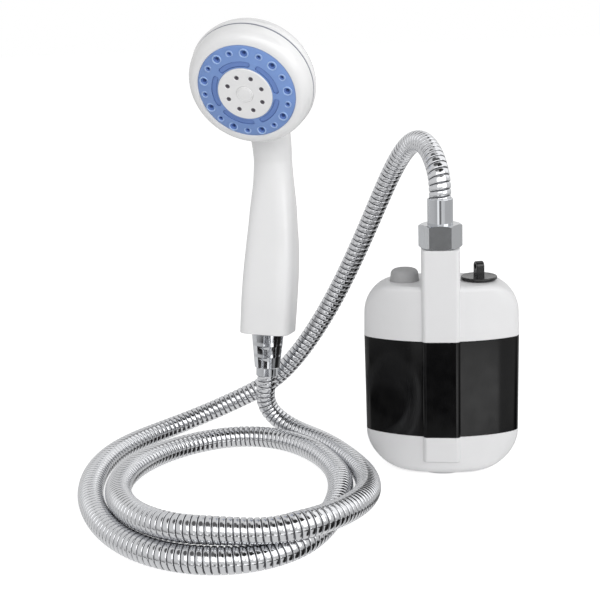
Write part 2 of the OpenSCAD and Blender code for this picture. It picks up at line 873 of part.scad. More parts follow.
// Handle stations: height, setback, lean, half width, half depth, squareness
half_w = handle_w / 2;
half_d = handle_d / 2;
bow = 7.3;
handle_ends = [
    [0, 0, 0, half_w - 0.1, half_d, 3.4],
    [handle_l * 0.1, bow * 0.2, 0, half_w + 0.1, half_d + 0.2, 3.4],
    [handle_l * 0.2, bow * 0.38, 0, half_w + 0.2, half_d + 0.4, 3.4],
    [handle_l * 0.35, bow * 0.72, 0, half_w, half_d + 0.4, 3.4],
    [handle_l * 0.5, bow, 0, half_w - 0.9, half_d, 3.4],
    [handle_l * 0.63, bow * 1.04, 0, half_w - 2.1, half_d - 0.6, 3.2],
    [handle_l * 0.76, bow * 1.04, 1, neck_w / 2 + 1.9, neck_d / 2 + 1.2, 3],
    [handle_l * 0.88, bow * 0.92, 4, neck_w / 2 + 0.7, neck_d / 2 + 0.4, 2.6]
];

// Neck: a curve from the top of the handle into the back of the head
neck_a = [bow * 0.6, handle_l];
neck_c = [
    -face_fwd + (bezel_h + bowl_h * 0.55) * cos(face_tilt),
    face_up + (bezel_h + bowl_h * 0.55) * sin(face_tilt)
];
neck_b = [bow * 0.1, handle_l + (neck_c[1] - handle_l) * 0.42];
function neck(t) = pow(1 - t, 2) * neck_a + 2 * t * (1 - t) * neck_b + t * t * neck_c;
function neck_lean(t) =
    let (d = (1 - t) * (neck_b - neck_a) + t * (neck_c - neck_b))
    atan2(-d[0], d[1]);
neck_ends = [
    for (t = [0:0.125:1])
        [neck(t)[1], neck(t)[0], neck_lean(t), neck_w / 2 + 3.4 * t * t, neck_d / 2 + 1.2 * t, 2.3]
];
function handle_ring(e) = [
    for (q = plan(e[3], e[4], e[5], 32))
        [q[0], e[1] + q[1] * cos(e[2]), e[0] + q[1] * sin(e[2])]
];

// Back of the head: half profile from the seam to the middle, lying w inside the surface
bowl_z = -bezel_h - seam_t / 2;
function bowl(w) = [
    for (t = [0:9:90])
        [
            (head_d / 2 + bowl_swell - w) * pow(cos(t), bowl_full),
            bowl_z - 1.6 - (bowl_h - 1.6 - w) * pow(sin(t), 1.15)
        ]
];

module bowl_solid(w, up) {
    in_face()
        rotate_extrude()
            polygon(concat(
                [[0, bowl_z + up], [head_d / 2 - w, bowl_z + up]],
                bowl(w),
                [[0, bowl_z - bowl_h + w]]
            ));
}

module handset_body() {
    color("white")
        difference() {
            union() {
                bowl_solid(0, 0);
                in_handset()
                    skin([for (e = concat(handle_ends, neck_ends)) handle_ring(e)]);
            }
            bowl_solid(head_wall, 1);
            in_face()
                translate([0, 0, bowl_z])
                    cylinder(r = head_d * 0.62, h = head_d * 0.7);
            in_handset() {
                translate([0, 0, -1])
                    rotate([-3, 0, 0])
                        cylinder(d = handle_bore, h = handle_l);
                translate([0, 0, -1])
                    cylinder(r = inlet_d / 2 - 2 + seat_fit, h = 13);
                translate([0, neck(0)[0] + 1, neck(0)[1] - 6])
                    rotate([34, 0, 0])
                        cylinder(d = handle_bore, h = 46);
            }
        }
}

module seam_ring() {
    color("slategray")
        in_face()
            translate([0, 0, bowl_z])
                difference() {
                    cylinder(d = head_d - 0.4, h = seam_t);
                    translate([0, 0, -1])
                        cylinder(r = head_d / 2 - head_wall, h = seam_t + 2);
                }
}

module water_divider() {
    color("gainsboro")
        in_face()
            difference() {
                union() {
                    translate([0, 0, bowl_z - 3])
                        cylinder(r = head_d / 2 - head_wall - 0.6, h = 2);
                    translate([0, 0, bowl_z - bowl_h + head_wall + 0.2])
                        cylinder(d = cap_d, h = bowl_h - head_wall);
                }
                for (i = [0:5])
                    rotate([0, 0, 60 * i])
                        translate([head_d / 4, 0, bowl_z - 4])
                            cylinder(d = 8, h = 5);
                translate([0, 0, bowl_z - 6])
                    cylinder(r = pivot_d / 2 + seat_fit, h = 10);
            }
}

module pivot_screw() {
    color("silver")
        in_face()
            translate([0, 0, bowl_z - 6])
                cylinder(d = pivot_d, h = disc_fwd - 0.6 - move_gap - bowl_z + 6);
}

// Outer half profile of the bezel from the seam round to the blue ring
function bezel_edge(t) = [
    spray_d / 2 + 0.4 + (head_d / 2 - 0.2 - spray_d / 2 - 0.4) * pow(cos(t), 0.8),
    -bezel_h + 1.2 + (bezel_h - 0.9) * pow(sin(t), 0.9)
];

module bezel_ring() {
    z0 = bowl_z + seam_t + move_gap;
    color("white")
        in_face()
            rotate_extrude()
                polygon(concat(
                    [[head_d / 2 - head_wall, z0], [head_d / 2 - 0.2, z0]],
                    [for (t = [0:9:81]) bezel_edge(t)],
                    [[spray_d / 2 + 0.6, 0.35], [spray_d / 2 + seat_fit, 0]],
                    [[spray_d / 2 + seat_fit, -2.4], [spray_d / 2 - 2, -2.4], [spray_d / 2 - 2, -4.4]],
                    [[head_d / 2 - head_wall - 2, -4.4], [head_d / 2 - head_wall, -6.4]]
                ));
}

// Height of the blue ring's crowned face at radius r
function crown(r) =
    let (k = (spray_d / 2 - r) / (spray_d / 2 - disc_d / 2))
    (disc_fwd - 0.7) * (1 - pow(1 - k, 1.6));

module spray_ring() {
    r0 = disc_d / 2 + seat_fit;
    r1 = spray_d / 2;
    nr = r0 + (r1 - r0) * 0.68;
    color("cornflowerblue")
        in_face()
            difference() {
                union() {
                    rotate_extrude()
                        polygon(concat(
                            [[cap_d / 2 + 2, -2.4], [r1, -2.4]],
                            [for (i = [0:8]) let (r = r1 + (r0 - r1) * i / 8) [r, crown(r)]],
                            [[r0, disc_fwd - 2.2], [cap_d / 2 + 2, disc_fwd - 2.2]]
                        ));
                    for (i = [0:nozzles - 1]) {
                        rotate([0, 0, nozzle_turn + 360 * i / nozzles])
                            translate([nr, 0, -1])
                                cylinder(d = nozzle_d, h = crown(nr) + 1.7);
                        rotate([0, 0, nozzle_turn + 360 * (i + 0.5) / nozzles])
                            translate([nr, 0, -1])
                                cylinder(d = nozzle_d * 0.68, h = crown(nr) + 1.5);
                    }
                }
                for (i = [0:nozzles - 1]) {
                    rotate([0, 0, nozzle_turn + 360 * i / nozzles])
                        translate([nr, 0, -4])
                            cylinder(d = nozzle_d * 0.6, h = 12);
                    rotate([0, 0, nozzle_turn + 360 * (i + 0.5) / nozzles])
                        translate([nr, 0, -4])
                            cylinder(d = nozzle_d * 0.36, h = 12);
                }
                // Five arc slots close to the centre disc
                for (i = [0:4])
                    rotate([0, 0, 72 * i + nozzle_turn])
                        rotate_extrude(angle = 56)
                            translate([r0 + 0.6, crown(r0 + 2) - 1])
                                square([2.2, 4]);
            }
}

module centre_disc() {
    color("white")
        in_face()
            difference() {
                rotate_extrude()
                    polygon([
                        [pivot_d / 2 + run_fit, disc_fwd - 2.2], [disc_d / 2 - 0.05, disc_fwd - 2.2],
                        [disc_d / 2 - 0.05, disc_fwd - 0.5], [disc_d / 2 - 0.5, disc_fwd],
                        [cap_d / 2 + 1.4, disc_fwd], [cap_d / 2 + 1.2, disc_fwd - 0.6],
                        [pivot_d / 2 + run_fit, disc_fwd - 0.6]
                    ]);
                for (i = [0:jets - 1])
                    rotate([0, 0, 360 * (i + 0.4) / jets])
                        translate([disc_d / 3, 0, disc_fwd - 4])
                            cylinder(d = jet_d, h = 6);
            }
}

module centre_cap() {
    color("white")
        in_face()
            rotate_extrude()
                polygon([
                    [0, disc_fwd - 0.6], [cap_d / 2, disc_fwd - 0.6], [cap_d / 2, disc_fwd + 0.3],
                    [cap_d / 2 - 0.5, disc_fwd + 0.6], [0, disc_fwd + 0.8]
                ]);
}

upper_shell();
band_sleeve();
bottom_shell();
inlet_strainer();
inner_frame();
pump_chamber();
impeller();
motor_can();
battery_cells();
riser_tube();
circuit_board();
tact_switch();
charge_socket();
power_button();
port_plug();
outlet_spigot();
hose_washer();
hose_nut();
pump_ferrule();
hose_arch();
hose_coil();
hose_rise();
hose_sleeve();
cone_nut();
cone_washer();
inlet_spigot();
handset_body();
seam_ring();
water_divider();
pivot_screw();
bezel_ring();
spray_ring();
centre_disc();
centre_cap();
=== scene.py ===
"""Portable camp shower: the finish of the rechargeable pump, its ribbed metal hose and the spray handset.

Shapes are built in millimetres in the part's own frame, and each finished piece is scaled to metres.
"""
import math
from bisect import bisect_right

import bmesh
import bpy
from mathutils import Euler, Matrix, Vector


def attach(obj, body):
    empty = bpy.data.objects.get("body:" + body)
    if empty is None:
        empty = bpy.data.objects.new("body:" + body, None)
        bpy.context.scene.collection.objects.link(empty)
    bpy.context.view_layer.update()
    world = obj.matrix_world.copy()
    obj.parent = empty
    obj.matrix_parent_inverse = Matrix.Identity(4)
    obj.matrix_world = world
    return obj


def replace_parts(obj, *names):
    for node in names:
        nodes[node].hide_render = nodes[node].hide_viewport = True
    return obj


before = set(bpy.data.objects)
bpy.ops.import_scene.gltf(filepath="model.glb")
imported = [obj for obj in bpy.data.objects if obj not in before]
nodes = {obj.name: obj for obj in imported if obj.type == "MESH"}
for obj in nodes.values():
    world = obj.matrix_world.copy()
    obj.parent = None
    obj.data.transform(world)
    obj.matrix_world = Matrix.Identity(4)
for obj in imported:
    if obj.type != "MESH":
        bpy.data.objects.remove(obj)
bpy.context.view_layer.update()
scene = bpy.context.scene
MM = 0.001
FULL_TURN = 2 * math.pi

# Bodies that the pieces move with
ROOT = "pump_hose_handset"
BUTTON, PLUG, NUT, CONE, FACE = "button", "plug", "nut", "cone", "spray_face"

# Names with _W, _D, _H, _L, _R or _T at the end are widths, depths or diameters, heights, lengths, radii or
# thicknesses. EDGE, CHAMFER and SOFT are sizes of broken edges, and SHARP is the least angle in radians that
# is broken. POWER, FULL, ROUND, SLOPE and DEEP are powers that shape a curve.

# Pump casing
BODY_W, BODY_TAPER, BODY_D, BODY_H = 100.8, 0.4, 48.9, 128
BULGE, SIDE_BOW, TOP_DRAFT, PLAN_POWER = 14.3, 0.8, 0.9, 9
TOP_R, TOP_EDGE = 19.5, 3.2
BOTTOM_R, BOTTOM_RISE, BOTTOM_EDGE = 30, 25, 5.5
WALL, LEDGE = 2.6, 2
BAND_LOW, BAND_HIGH = 28.5, 92.5
FOOT_H, FOOT_D, FOOT_RIM, FOOT_GAP = 2.4, 34, 4, 10
SEAM_CHAMFER, COLUMN_EDGE, RIB_EDGE, FOOT_EDGE = 0.35, 0.56, 0.7, 0.5
COLUMN_W, COLUMN_D, COLUMN_R, COLUMN_RISE = 24.4, 24, 3, 24
RIB_PROUD, RIB_LOW = 1.55, 11.5
OUTLET_Y = BODY_D / 2 + RIB_PROUD - COLUMN_D / 2
COLUMN_TOP = BODY_H + COLUMN_RISE
RISER_D, ROOF_BORE = 10, 9
# Rows and corners of the casing's skins, and the degrees by which the corners crowd into its rounded edges
OUTER_ROWS, INNER_ROWS, SEAM_ROW = 18, 12, 2
CORNERS, CORNER_CROWD = 160, 10

# Button, port plug and hose nut
BUTTON_X, BUTTON_D, BUTTON_RISE, BUTTON_LIP = 23.4, 18.8, 8, 1.2
BUTTON_EDGE, BUTTON_SIDE, BUTTON_LIP_T = 0.35, 0.6, 2
BUTTON_STEM_R, BUTTON_STEM_L = 3, 4.1
DOME_FULL, DOME_SLOPE, DOME_STEPS = 0.42, 0.95, 24
PORT_X, PLUG_D, PLUG_T, PLUG_SHANK = 24.6, 23.4, 2.2, 12
PLUG_L, PLUG_EDGE, PLUG_DISH = 5.6, 0.5, 0.25
PLUG_RIM, RIM_W, RIM_H = 2, 0.7, 0.9
TAB_W, TAB_T, TAB_H, TAB_TURN = 6.6, 5.2, 9.6, 70
TAB_ROOT, TAB_HOLE_R, TAB_FLAT = 0.8, 1.485, 0.05
TAB_SOFT, TAB_SHARP = 0.5, 0.9
NUT_AF, NUT_H, NUT_CHAMFER = 24, 15, 1.2
NUT_RING, NUT_ROOM = 0.3, 0.4
NUT_SOFT, NUT_SHARP = 0.22, 0.35
SPIGOT_D, SPIGOT_L, SPIGOT_STEP, SPIGOT_ROOT = 20.4, 8.5, 2, 12
WASHER_T, COLLAR_T, COLLAR_FIT = 2, 2, 0.2
FERRULE_D, FERRULE_SEAT, FERRULE_TOP, FERRULE_EDGE = 16.2, 18, 31.5, 0.6
COLLAR_EDGE_W, COLLAR_EDGE_H, MOUTH_DROP = 0.2, 0.3, 0.2
MOVE_GAP, RUN_FIT, SEAT_FIT = 0.3, 0.05, 0.1

# Hose
HOSE_D, HOSE_BORE, RIB_DEPTH = 14, 8.4, 0.85
# Extra radius of the hose in front, and the places along Y between which it grows. It fades over HOSE_END at
# both ends. Points that are less than HOSE_TURN apart along the hose lie on the same turn.
HOSE_SWELL, SWELL_BACK, SWELL_FRONT = 1.2, 60, -50
HOSE_END, HOSE_TURN = 260, 45
HOSE_RIBS, HOSE_SIDES = 396, 24
# Rib of the wound strip: share of one rib's rise, depth below the crest
RIB_PROFILE = (
    (0, RIB_DEPTH), (0.08, RIB_DEPTH), (0.12, 0.28), (0.22, 0.08), (0.53, 0), (0.84, 0.08), (0.96, 0.26),
)
# Higher powers keep the painted shade nearer to the bottom of the grooves
GROOVE_SHADE_POWER = 1.3
# The start of each turn of the strip is merged with the end of the last within this distance
STRIP_MERGE_GAP = 0.01

# Handset
HANDLE_L, HANDLE_W, HANDLE_D, HANDLE_BOW = 120, 36.6, 31, 7.3
HANDLE_POWER, HANDLE_EDGE, HANDLE_CORNERS, STATION_STEPS = 4.6, 0.4, 96, 4
NECK_W, NECK_D, NECK_FLARE = 26.6, 26, 3.4
NECK_SWELL, NECK_POWER, NECK_ROWS = 1.2, 2.3, 8
NECK_HEEL, HEEL_SHARE, HEEL_ARC = 20, 0.35, (10, 80)
# Setback of the neck's start and bend as shares of the handle's bow, height of the bend as a share of the
# neck's, and depth of the neck's end as a share of the bowl's
START_BACK, BEND_BACK, BEND_UP, END_DEPTH = 0.6, 0.1, 0.42, 0.55
HEAD_D, HEAD_WALL = 84, 2.6
FACE_TILT, FACE_FWD, FACE_UP = 31.7, 56.2, 167.4
BOWL_H, BOWL_SIDE, BOWL_SWELL = 20, 1.6, 0.6
BOWL_FULL, BOWL_DEEP, BOWL_STEPS, SEAM_T = 0.38, 1.15, 36, 0.8
BEZEL_H, BEZEL_SIDE, BEZEL_CREST = 12.5, 1.2, 0.3
BEZEL_STEP, BEZEL_LIP, BEZEL_LEDGE = 0.2, 0.4, 2
BEZEL_FULL, BEZEL_ROUND, BEZEL_ARC, BEZEL_STEPS = 0.8, 0.9, (0, 84), 40
BEZEL_EDGE, BEZEL_MOUTH_W, BEZEL_MOUTH_H = 0.3, 0.6, 0.35
PIVOT_D, HANDLE_BORE, BORE_LEAN = 4, 9, -3
DUCT_L, DUCT_LEAN, DUCT_BACK, DUCT_DROP = 46, 34, 1, 6
FRONT_CUT_R, FRONT_CUT_H = HEAD_D * 0.62, HEAD_D * 0.7
CONE_L, CONE_TOP, CONE_LOW = 26, 23.4, 18
CONE_EDGE, CONE_LOW_EDGE, CONE_ROWS = 0.6, 0.5, 70
CONE_BEAD, BEAD_W, BEAD_PLACES = 0.08, 1.4, (0.36, 0.68)
INLET_D, INLET_L = 18, 11
SLEEVE_D, SLEEVE_OUT, SLEEVE_SEAT, SLEEVE_EDGE = 15.8, 6, 18, 0.5
BOWL_Z = -BEZEL_H - SEAM_T / 2
HANDSET_AT, HANDSET_TURN = (-123.3, 50, 80), (-5.2, 2.1, -9.2)

# Spray face
SPRAY_D, RING_T, RING_HUB, RING_CUT = 65.8, 2.4, 2, 4
RING_EDGE, RING_BACK, RING_SIDE = 0.4, 0.3, 0.25
RING_SOFT, RING_SHARP = 0.16, 0.8
CROWN_DROP, CROWN_POWER, CROWN_ROWS = 0.7, 1.6, 24
DISC_D, DISC_FWD, DISC_T = 36.8, 3.7, 2.2
DISC_PLAY, DISC_EDGE = 0.05, 0.8
CAP_D, CAP_FIT, CAP_SEAT, CAP_PROUD = 11.2, 0.12, 0.6, 0.3
CAP_EDGE, CAP_CHAMFER, CAP_FLAT_R = 0.35, 0.2, 2
# Fine ring line of the cap, and the rise of the cap outside it, inside it, further in and in the middle
LINE_R, LINE_W, LINE_DEPTH = 4.55, 0.6, 0.3
CAP_CROWN = (0.04, 0.06, 0.16, 0.2)
NOZZLES, NOZZLE_D, NOZZLE_TURN = 9, 6.2, 3.5
NOZZLE_PLACE, NOZZLE_SEAT, SMALL_NOZZLE = 0.68, 0.25, 0.68
LIP_H, LIP_ROOT, LIP_UNDER, LIP_SEAT = 0.62, 0.6, 0.2, 0.3
LIP_EDGE, LIP_OVER, SMALL_LIP_OVER = 0.1, 0.12, 0.4
# Radii of a nozzle's dish, of the pupil in it and of the bore, as shares of the nozzle's radius
DISH_R, PUPIL_R, NOZZLE_BORE_R = 0.74, 0.4, 0.14
DISH_ROOT, DISH_TOP, PUPIL_ROOT = 1.4, 0.1, 1.7
PUPIL_FLOOR, PUPIL_DROP = 1.3, 0.2
# Arc slots: spans and turns in degrees, and about the length of one degree at a slot's ends
ARC_SLOTS, ARC_SPAN, ARC_TURN = 5, 61, 1
ARC_END_R, ARC_DEGREE = 1.6, 0.3
SLOT_BACK, SLOT_W, SLOT_DEPTH = 0.7, 3.7, 0.9
PAD_GAP, PAD_LOWER, PAD_INSET, PAD_SOFT = 0.25, 0.35, 0.7, 0.3
JETS, JET_D, JET_TURN, JET_CIRCLE_R = 8, 3, 0.4, DISC_D / 3
JET_FLARE, FLARE_LOW, FLARE_HIGH = 0.5, 0.3, 0.2
TIP_LOW, TIP_TOP, TIP_PLAY = 2.1, 0.35, 0.03
TIP_EDGE, TIP_DISH = 0.35, 0.1
TIP_MOUTH_R, TIP_BORE_R, TIP_BORE_L = 0.75, 0.6, 0.9
FACE_STEPS, RING_STEPS, NOZZLE_STEPS, JET_STEPS = 128, 144, 32, 28

handset = Matrix.Translation(HANDSET_AT) @ Euler(map(math.radians, HANDSET_TURN)).to_matrix().to_4x4()
spray_face = (
    handset
    @ Matrix.Translation((0, -FACE_FWD, FACE_UP))
    @ Matrix.Rotation(math.radians(90 + FACE_TILT), 4, "X")
)


# Camera

CAMERA_AT = Vector((0, -708, 285))
CAMERA_YAW, CAMERA_PITCH, CAMERA_ROLL = map(math.radians, (7.457, 13.387, 2.154))
CAMERA_LENS = 66.37

camera = bpy.data.objects.new("camera", bpy.data.cameras.new("camera"))
camera.data.lens = CAMERA_LENS
camera.matrix_world = (
    Matrix.Translation(CAMERA_AT * MM)
    @ Euler((math.pi / 2 - CAMERA_PITCH, 0, CAMERA_YAW)).to_matrix().to_4x4()
    @ Matrix.Rotation(-CAMERA_ROLL, 4, "Z")
)
scene.collection.objects.link(camera)
scene.camera = camera


# Tools for meshes

# Cutting tools reach this far past what they cut
OVERCUT = 1
# Faces that meet at more than this angle in radians have a sharp edge between them
SHARP = 1
# An edge whose ends lie nearer to each other than this in plan is upright
UPRIGHT = 0.01
# Corners that lie nearer to each other than this are one corner
MERGE_GAP = 1e-4
# Facets of a block's rounded edges
UPRIGHT_STEPS, RIM_STEPS = 6, 3


def moved(bm, way):
    """Shifts a whole mesh."""
    bmesh.ops.translate(bm, vec=way, verts=bm.verts)
    return bm


def swung(bm, angle, axis):
    """Turns a whole mesh about an axis of the frame."""
    bmesh.ops.rotate(bm, cent=(0, 0, 0), matrix=Matrix.Rotation(angle, 3, axis), verts=bm.verts)
    return bm


def placed(bm, place):
    """Moves a whole mesh by a matrix."""
    bm.transform(place)
    return bm


def rounded(bm, edges, width, steps, clamp=False):
    """Rounds some edges of a mesh."""
    bmesh.ops.bevel(
        bm, geom=edges, offset=width, segments=steps, profile=0.5, affect="EDGES", material=-1,
        clamp_overlap=clamp,
    )


def turned(outline, closed=False, steps=96, sweep=FULL_TURN):
    """A solid of revolution about Z. The outline is a row of (radius, height) corners."""
    bm = bmesh.new()
    corners = [bm.verts.new((r, 0, z)) for r, z in outline]
    pairs = list(zip(corners, corners[1:]))
    if closed:
        pairs.append((corners[-1], corners[0]))
    edges = [bm.edges.new(pair) for pair in pairs]
    bmesh.ops.spin(
        bm, geom=corners + edges, cent=(0, 0, 0), axis=(0, 0, 1), angle=sweep, steps=steps,
        use_merge=sweep == FULL_TURN,
    )
    bmesh.ops.remove_doubles(bm, verts=bm.verts, dist=MERGE_GAP)
    bmesh.ops.holes_fill(bm, edges=bm.edges, sides=0)
    bmesh.ops.recalc_face_normals(bm, faces=bm.faces)
    return bm


def lofted(outlines, corners):
    """A closed skin through a row of outlines, each a function from an angle to a point."""
    bm = bmesh.new()
    turn = bm.verts.layers.float.new("turn")
    bmesh.ops.create_circle(bm, segments=corners, radius=1)
    for v in bm.verts:
        v[turn] = math.atan2(v.co.y, v.co.x)
    ring = bm.verts[:]
    edges = bm.edges[:]
    for k, outline in enumerate(outlines):
        if k:
            grown = bmesh.ops.extrude_edge_only(bm, edges=edges)["geom"]
            ring = [g for g in grown if isinstance(g, bmesh.types.BMVert)]
            inside = set(ring)
            edges = [g for g in grown if isinstance(g, bmesh.types.BMEdge) and inside.issuperset(g.verts)]
        for v in ring:
            v.co = outline(v[turn])
    bmesh.ops.holes_fill(bm, edges=bm.edges, sides=0)
    bmesh.ops.recalc_face_normals(bm, faces=bm.faces)
    return bm


def block(size, at, upright_r=0, rim=0):
    """A box with rounded upright edges and a small rounding on its upper and lower rims."""
    bm = bmesh.new()
    bmesh.ops.create_cube(bm, size=1)
    bmesh.ops.scale(bm, vec=size, verts=bm.verts)
    for width, steps, upright in ((upright_r, UPRIGHT_STEPS, True), (rim, RIM_STEPS, False)):
        if width:
            sharp = [e for e in bm.edges if e.calc_face_angle() > SHARP]
            rises = [abs(e.verts[0].co.z - e.verts[1].co.z) for e in sharp]
            chosen = [e for e, rise in zip(sharp, rises) if (rise > size[2] / 2) == upright]
            rounded(bm, chosen, width, steps)
    return moved(bm, at)


def peg(radius, low, high, at=(0, 0), steps=64):
    """A plain round peg, used to bore holes."""
    bm = bmesh.new()
    place = Matrix.Translation((at[0], at[1], (low + high) / 2))
    bmesh.ops.create_cone(
        bm, cap_ends=True, segments=steps, radius1=radius, radius2=radius, depth=high - low, matrix=place
    )
    return bm


def together(*parts):
    """Several meshes in one."""
    first = parts[0]
    for part in parts[1:]:
        mesh = bpy.data.meshes.new("part")
        part.to_mesh(mesh)
        part.free()
        first.from_mesh(mesh)
        bpy.data.meshes.remove(mesh)
    return first


def boolean(how, kept, *tools):
    """Joins or cuts a closed mesh with others, one after another."""
    for tool in tools:
        pair = []
        for part in (kept, tool):
            mesh = bpy.data.meshes.new("part")
            part.to_mesh(mesh)
            part.free()
            pair.append(bpy.data.objects.new("part", mesh))
            scene.collection.objects.link(pair[-1])
        modifier = pair[0].modifiers.new("cut", "BOOLEAN")
        modifier.operation = how
        modifier.object = pair[1]
        modifier.solver = "EXACT"
        bpy.context.view_layer.update()
        kept = bmesh.new()
        kept.from_object(pair[0], bpy.context.evaluated_depsgraph_get())
        for part in pair:
            bpy.data.meshes.remove(part.data)
    return kept


def softened(bm, width, steps=2, least=0.5):
    """Rounds every edge whose faces meet at more than the least angle."""
    sharp = [e for e in bm.edges if e.is_manifold and e.calc_face_angle() > least]
    rounded(bm, sharp, width, steps, clamp=True)
    return bm


def piece(name, bm, material, body, replaced=(), crease=32):
    """Makes a finished piece of a mesh in millimetres that moves with a body.

    Edges that turn by more than crease, in degrees, stay sharp.
    """
    bmesh.ops.scale(bm, vec=(MM, MM, MM), verts=bm.verts)
    mesh = bpy.data.meshes.new(name)
    bm.to_mesh(mesh)
    bm.free()
    mesh.shade_smooth()
    mesh.set_sharp_from_angle(angle=math.radians(crease))
    mesh.materials.append(material)
    obj = bpy.data.objects.new(name, mesh)
    scene.collection.objects.link(obj)
    weighted = obj.modifiers.new("weighted normals", "WEIGHTED_NORMAL")
    weighted.keep_sharp = True
    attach(obj, body)
    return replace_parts(obj, *replaced)


def arc(count, low=0, high=90):
    """Angles in radians from low to high degrees."""
    return [math.radians(low + (high - low) * i / count) for i in range(count + 1)]


def quarter_round(r, z, wide, high, steps=6):
    """Rounded rim of a turned outline, from its outside at radius r to its end at height z."""
    return [(r - wide + wide * math.cos(t), z - high + high * math.sin(t)) for t in arc(steps)]


# Tools for materials

# Range that most of a noise texture's values lie in
PATCH_LOW, PATCH_HIGH = 0.3, 0.7


def srgb(code):
    """Linear colour of an sRGB hex value."""
    parts = [int(code[i:i + 2], 16) / 255 for i in (1, 3, 5)]
    return *[p / 12.92 if p <= 0.04045 else ((p + 0.055) / 1.055) ** 2.4 for p in parts], 1


def add(tree, kind, inputs=(), **settings):
    """Adds a node with its settings, and fills its inputs with values or links."""
    node = tree.nodes.new(kind)
    for key, value in settings.items():
        setattr(node, key, value)
    for key, value in dict(inputs).items():
        if isinstance(value, bpy.types.NodeSocket):
            tree.links.new(value, node.inputs[key])
        else:
            node.inputs[key].default_value = value
    return node


def surface(name, mottle, grain, constants, painted_shade=None):
    """A material whose shader has mottled colour, uneven gloss and a fine grain.

    mottle is (colour, second colour, patch size in mm). grain is (size in mm, depth in mm, lowest roughness,
    highest roughness). constants are values of the shader's own sockets. painted_shade is (mesh attribute,
    colour of the shade painted where the attribute is high).
    """
    first, second, patch_size = mottle
    grain_size, grain_depth, smoothest, roughest = grain
    material = bpy.data.materials.new(name)
    material.use_nodes = True
    tree = material.node_tree
    tree.nodes.clear()
    place = add(tree, "ShaderNodeTexCoord").outputs["Object"]
    patches = add(
        tree, "ShaderNodeTexNoise", {"Vector": place, "Scale": 1 / (patch_size * MM), "Detail": 3}
    ).outputs["Fac"]
    colour = add(
        tree, "ShaderNodeMix", {"Factor": patches, "A": srgb(first), "B": srgb(second)}, data_type="RGBA"
    ).outputs["Result"]
    # Painted shade: where the mesh attribute is high, the colour darkens towards the shade colour
    if painted_shade:
        attribute, shade_colour = painted_shade
        share = add(tree, "ShaderNodeAttribute", attribute_name=attribute).outputs["Fac"]
        colour = add(
            tree, "ShaderNodeMix", {"Factor": share, "A": colour, "B": srgb(shade_colour)}, data_type="RGBA"
        ).outputs["Result"]
    gloss = add(
        tree, "ShaderNodeMapRange",
        {
            "Value": patches, "From Min": PATCH_LOW, "From Max": PATCH_HIGH,
            "To Min": smoothest, "To Max": roughest,
        },
    ).outputs["Result"]
    specks = add(
        tree, "ShaderNodeTexNoise", {"Vector": place, "Scale": 1 / (grain_size * MM), "Detail": 2}
    ).outputs["Fac"]
    relief = add(
        tree, "ShaderNodeBump", {"Height": specks, "Distance": grain_depth * MM, "Strength": 1}
    ).outputs["Normal"]
    shader = add(
        tree, "ShaderNodeBsdfPrincipled",
        {"Base Color": colour, "Roughness": gloss, "Normal": relief, **constants},
    )
    add(tree, "ShaderNodeOutputMaterial", {"Surface": shader.outputs["BSDF"]})
    return material


# Materials

# Satin white ABS with a spark-eroded mould grain: the casing looks soft, with broad dull highlights
white_abs = surface("moulded_white_abs", ("#E6E6E7", "#E1E1E2", 14), (0.7, 0.012, 0.36, 0.46), {"IOR": 1.53})
# Polished black ABS: nearly black face on, with clear reflections towards the edges
black_abs = surface(
    "polished_black_abs", ("#040405", "#060607", 9), (1.6, 0.002, 0.1, 0.16),
    {"IOR": 1.5, "Specular IOR Level": 0.28},
)
# Polished white ABS with a clear gloss: the handset has small bright highlights
gloss_abs = surface("polished_white_abs", ("#F7F7F7", "#F3F3F4", 18), (2.4, 0.002, 0.16, 0.22), {"IOR": 1.53})
# Blue ABS of the spray ring, satin from its mould
blue_abs = surface("moulded_blue_abs", ("#7E9FDA", "#7898D4", 6), (0.5, 0.008, 0.3, 0.38), {"IOR": 1.53})
# The same plastic a shade deeper in the mist pads, with a duller mould
pad_abs = surface("spark_eroded_blue_abs", ("#6C8BCB", "#6685C5", 3), (0.35, 0.02, 0.45, 0.55), {"IOR": 1.53})
# Silicone lips of the nozzles: soft and slightly see-through, painted pale as a painted highlight on their
# raised rims
lip_highlight_silicone = surface(
    "pale_blue_silicone", ("#AFCBF4", "#A5C3F0", 3), (0.4, 0.006, 0.34, 0.42),
    {"IOR": 1.43, "Subsurface Weight": 0.15, "Subsurface Radius": (0.0008, 0.001, 0.0015)},
)
# The same silicone on the small nozzles, with a weaker painted highlight nearer to the ring's own blue
small_lip_highlight_silicone = surface(
    "soft_blue_silicone", ("#A6C2EE", "#9FBBE9", 3), (0.4, 0.006, 0.36, 0.44), {"IOR": 1.43}
)
# Silicone of the nozzles' dished inside, painted mid blue as painted shade of the recess
dish_shade_silicone = surface(
    "mid_blue_silicone", ("#6383C6", "#5C7CC0", 2), (0.4, 0.008, 0.38, 0.46), {"IOR": 1.43}
)
# Silicone at the bottom of the nozzles, painted deep blue as painted shade of the hole, so that it reads as a
# dark pupil
pupil_shade_silicone = surface("deep_blue_silicone", ("#3E5A9A", "#36518F", 2), (0.4, 0.01, 0.4, 0.5), {"IOR": 1.43})
# Rubber tips of the centre jets, coloured dark grey as painted shade of the jet holes
tip_shade_silicone = surface("dark_grey_silicone", ("#68646B", "#5E5A61", 2), (0.4, 0.01, 0.45, 0.55), {"IOR": 1.43})
# Grey-blue ABS ring in the head's seam
seam_abs = surface("moulded_grey_abs", ("#9396A3", "#8C8F9D", 5), (0.5, 0.006, 0.35, 0.42), {"IOR": 1.53})
# Soft-touch grey TPE: no clear highlight at all
button_tpe = surface("soft_grey_tpe", ("#AEAEAF", "#A7A7A8", 4), (0.35, 0.02, 0.58, 0.68), {"IOR": 1.48})
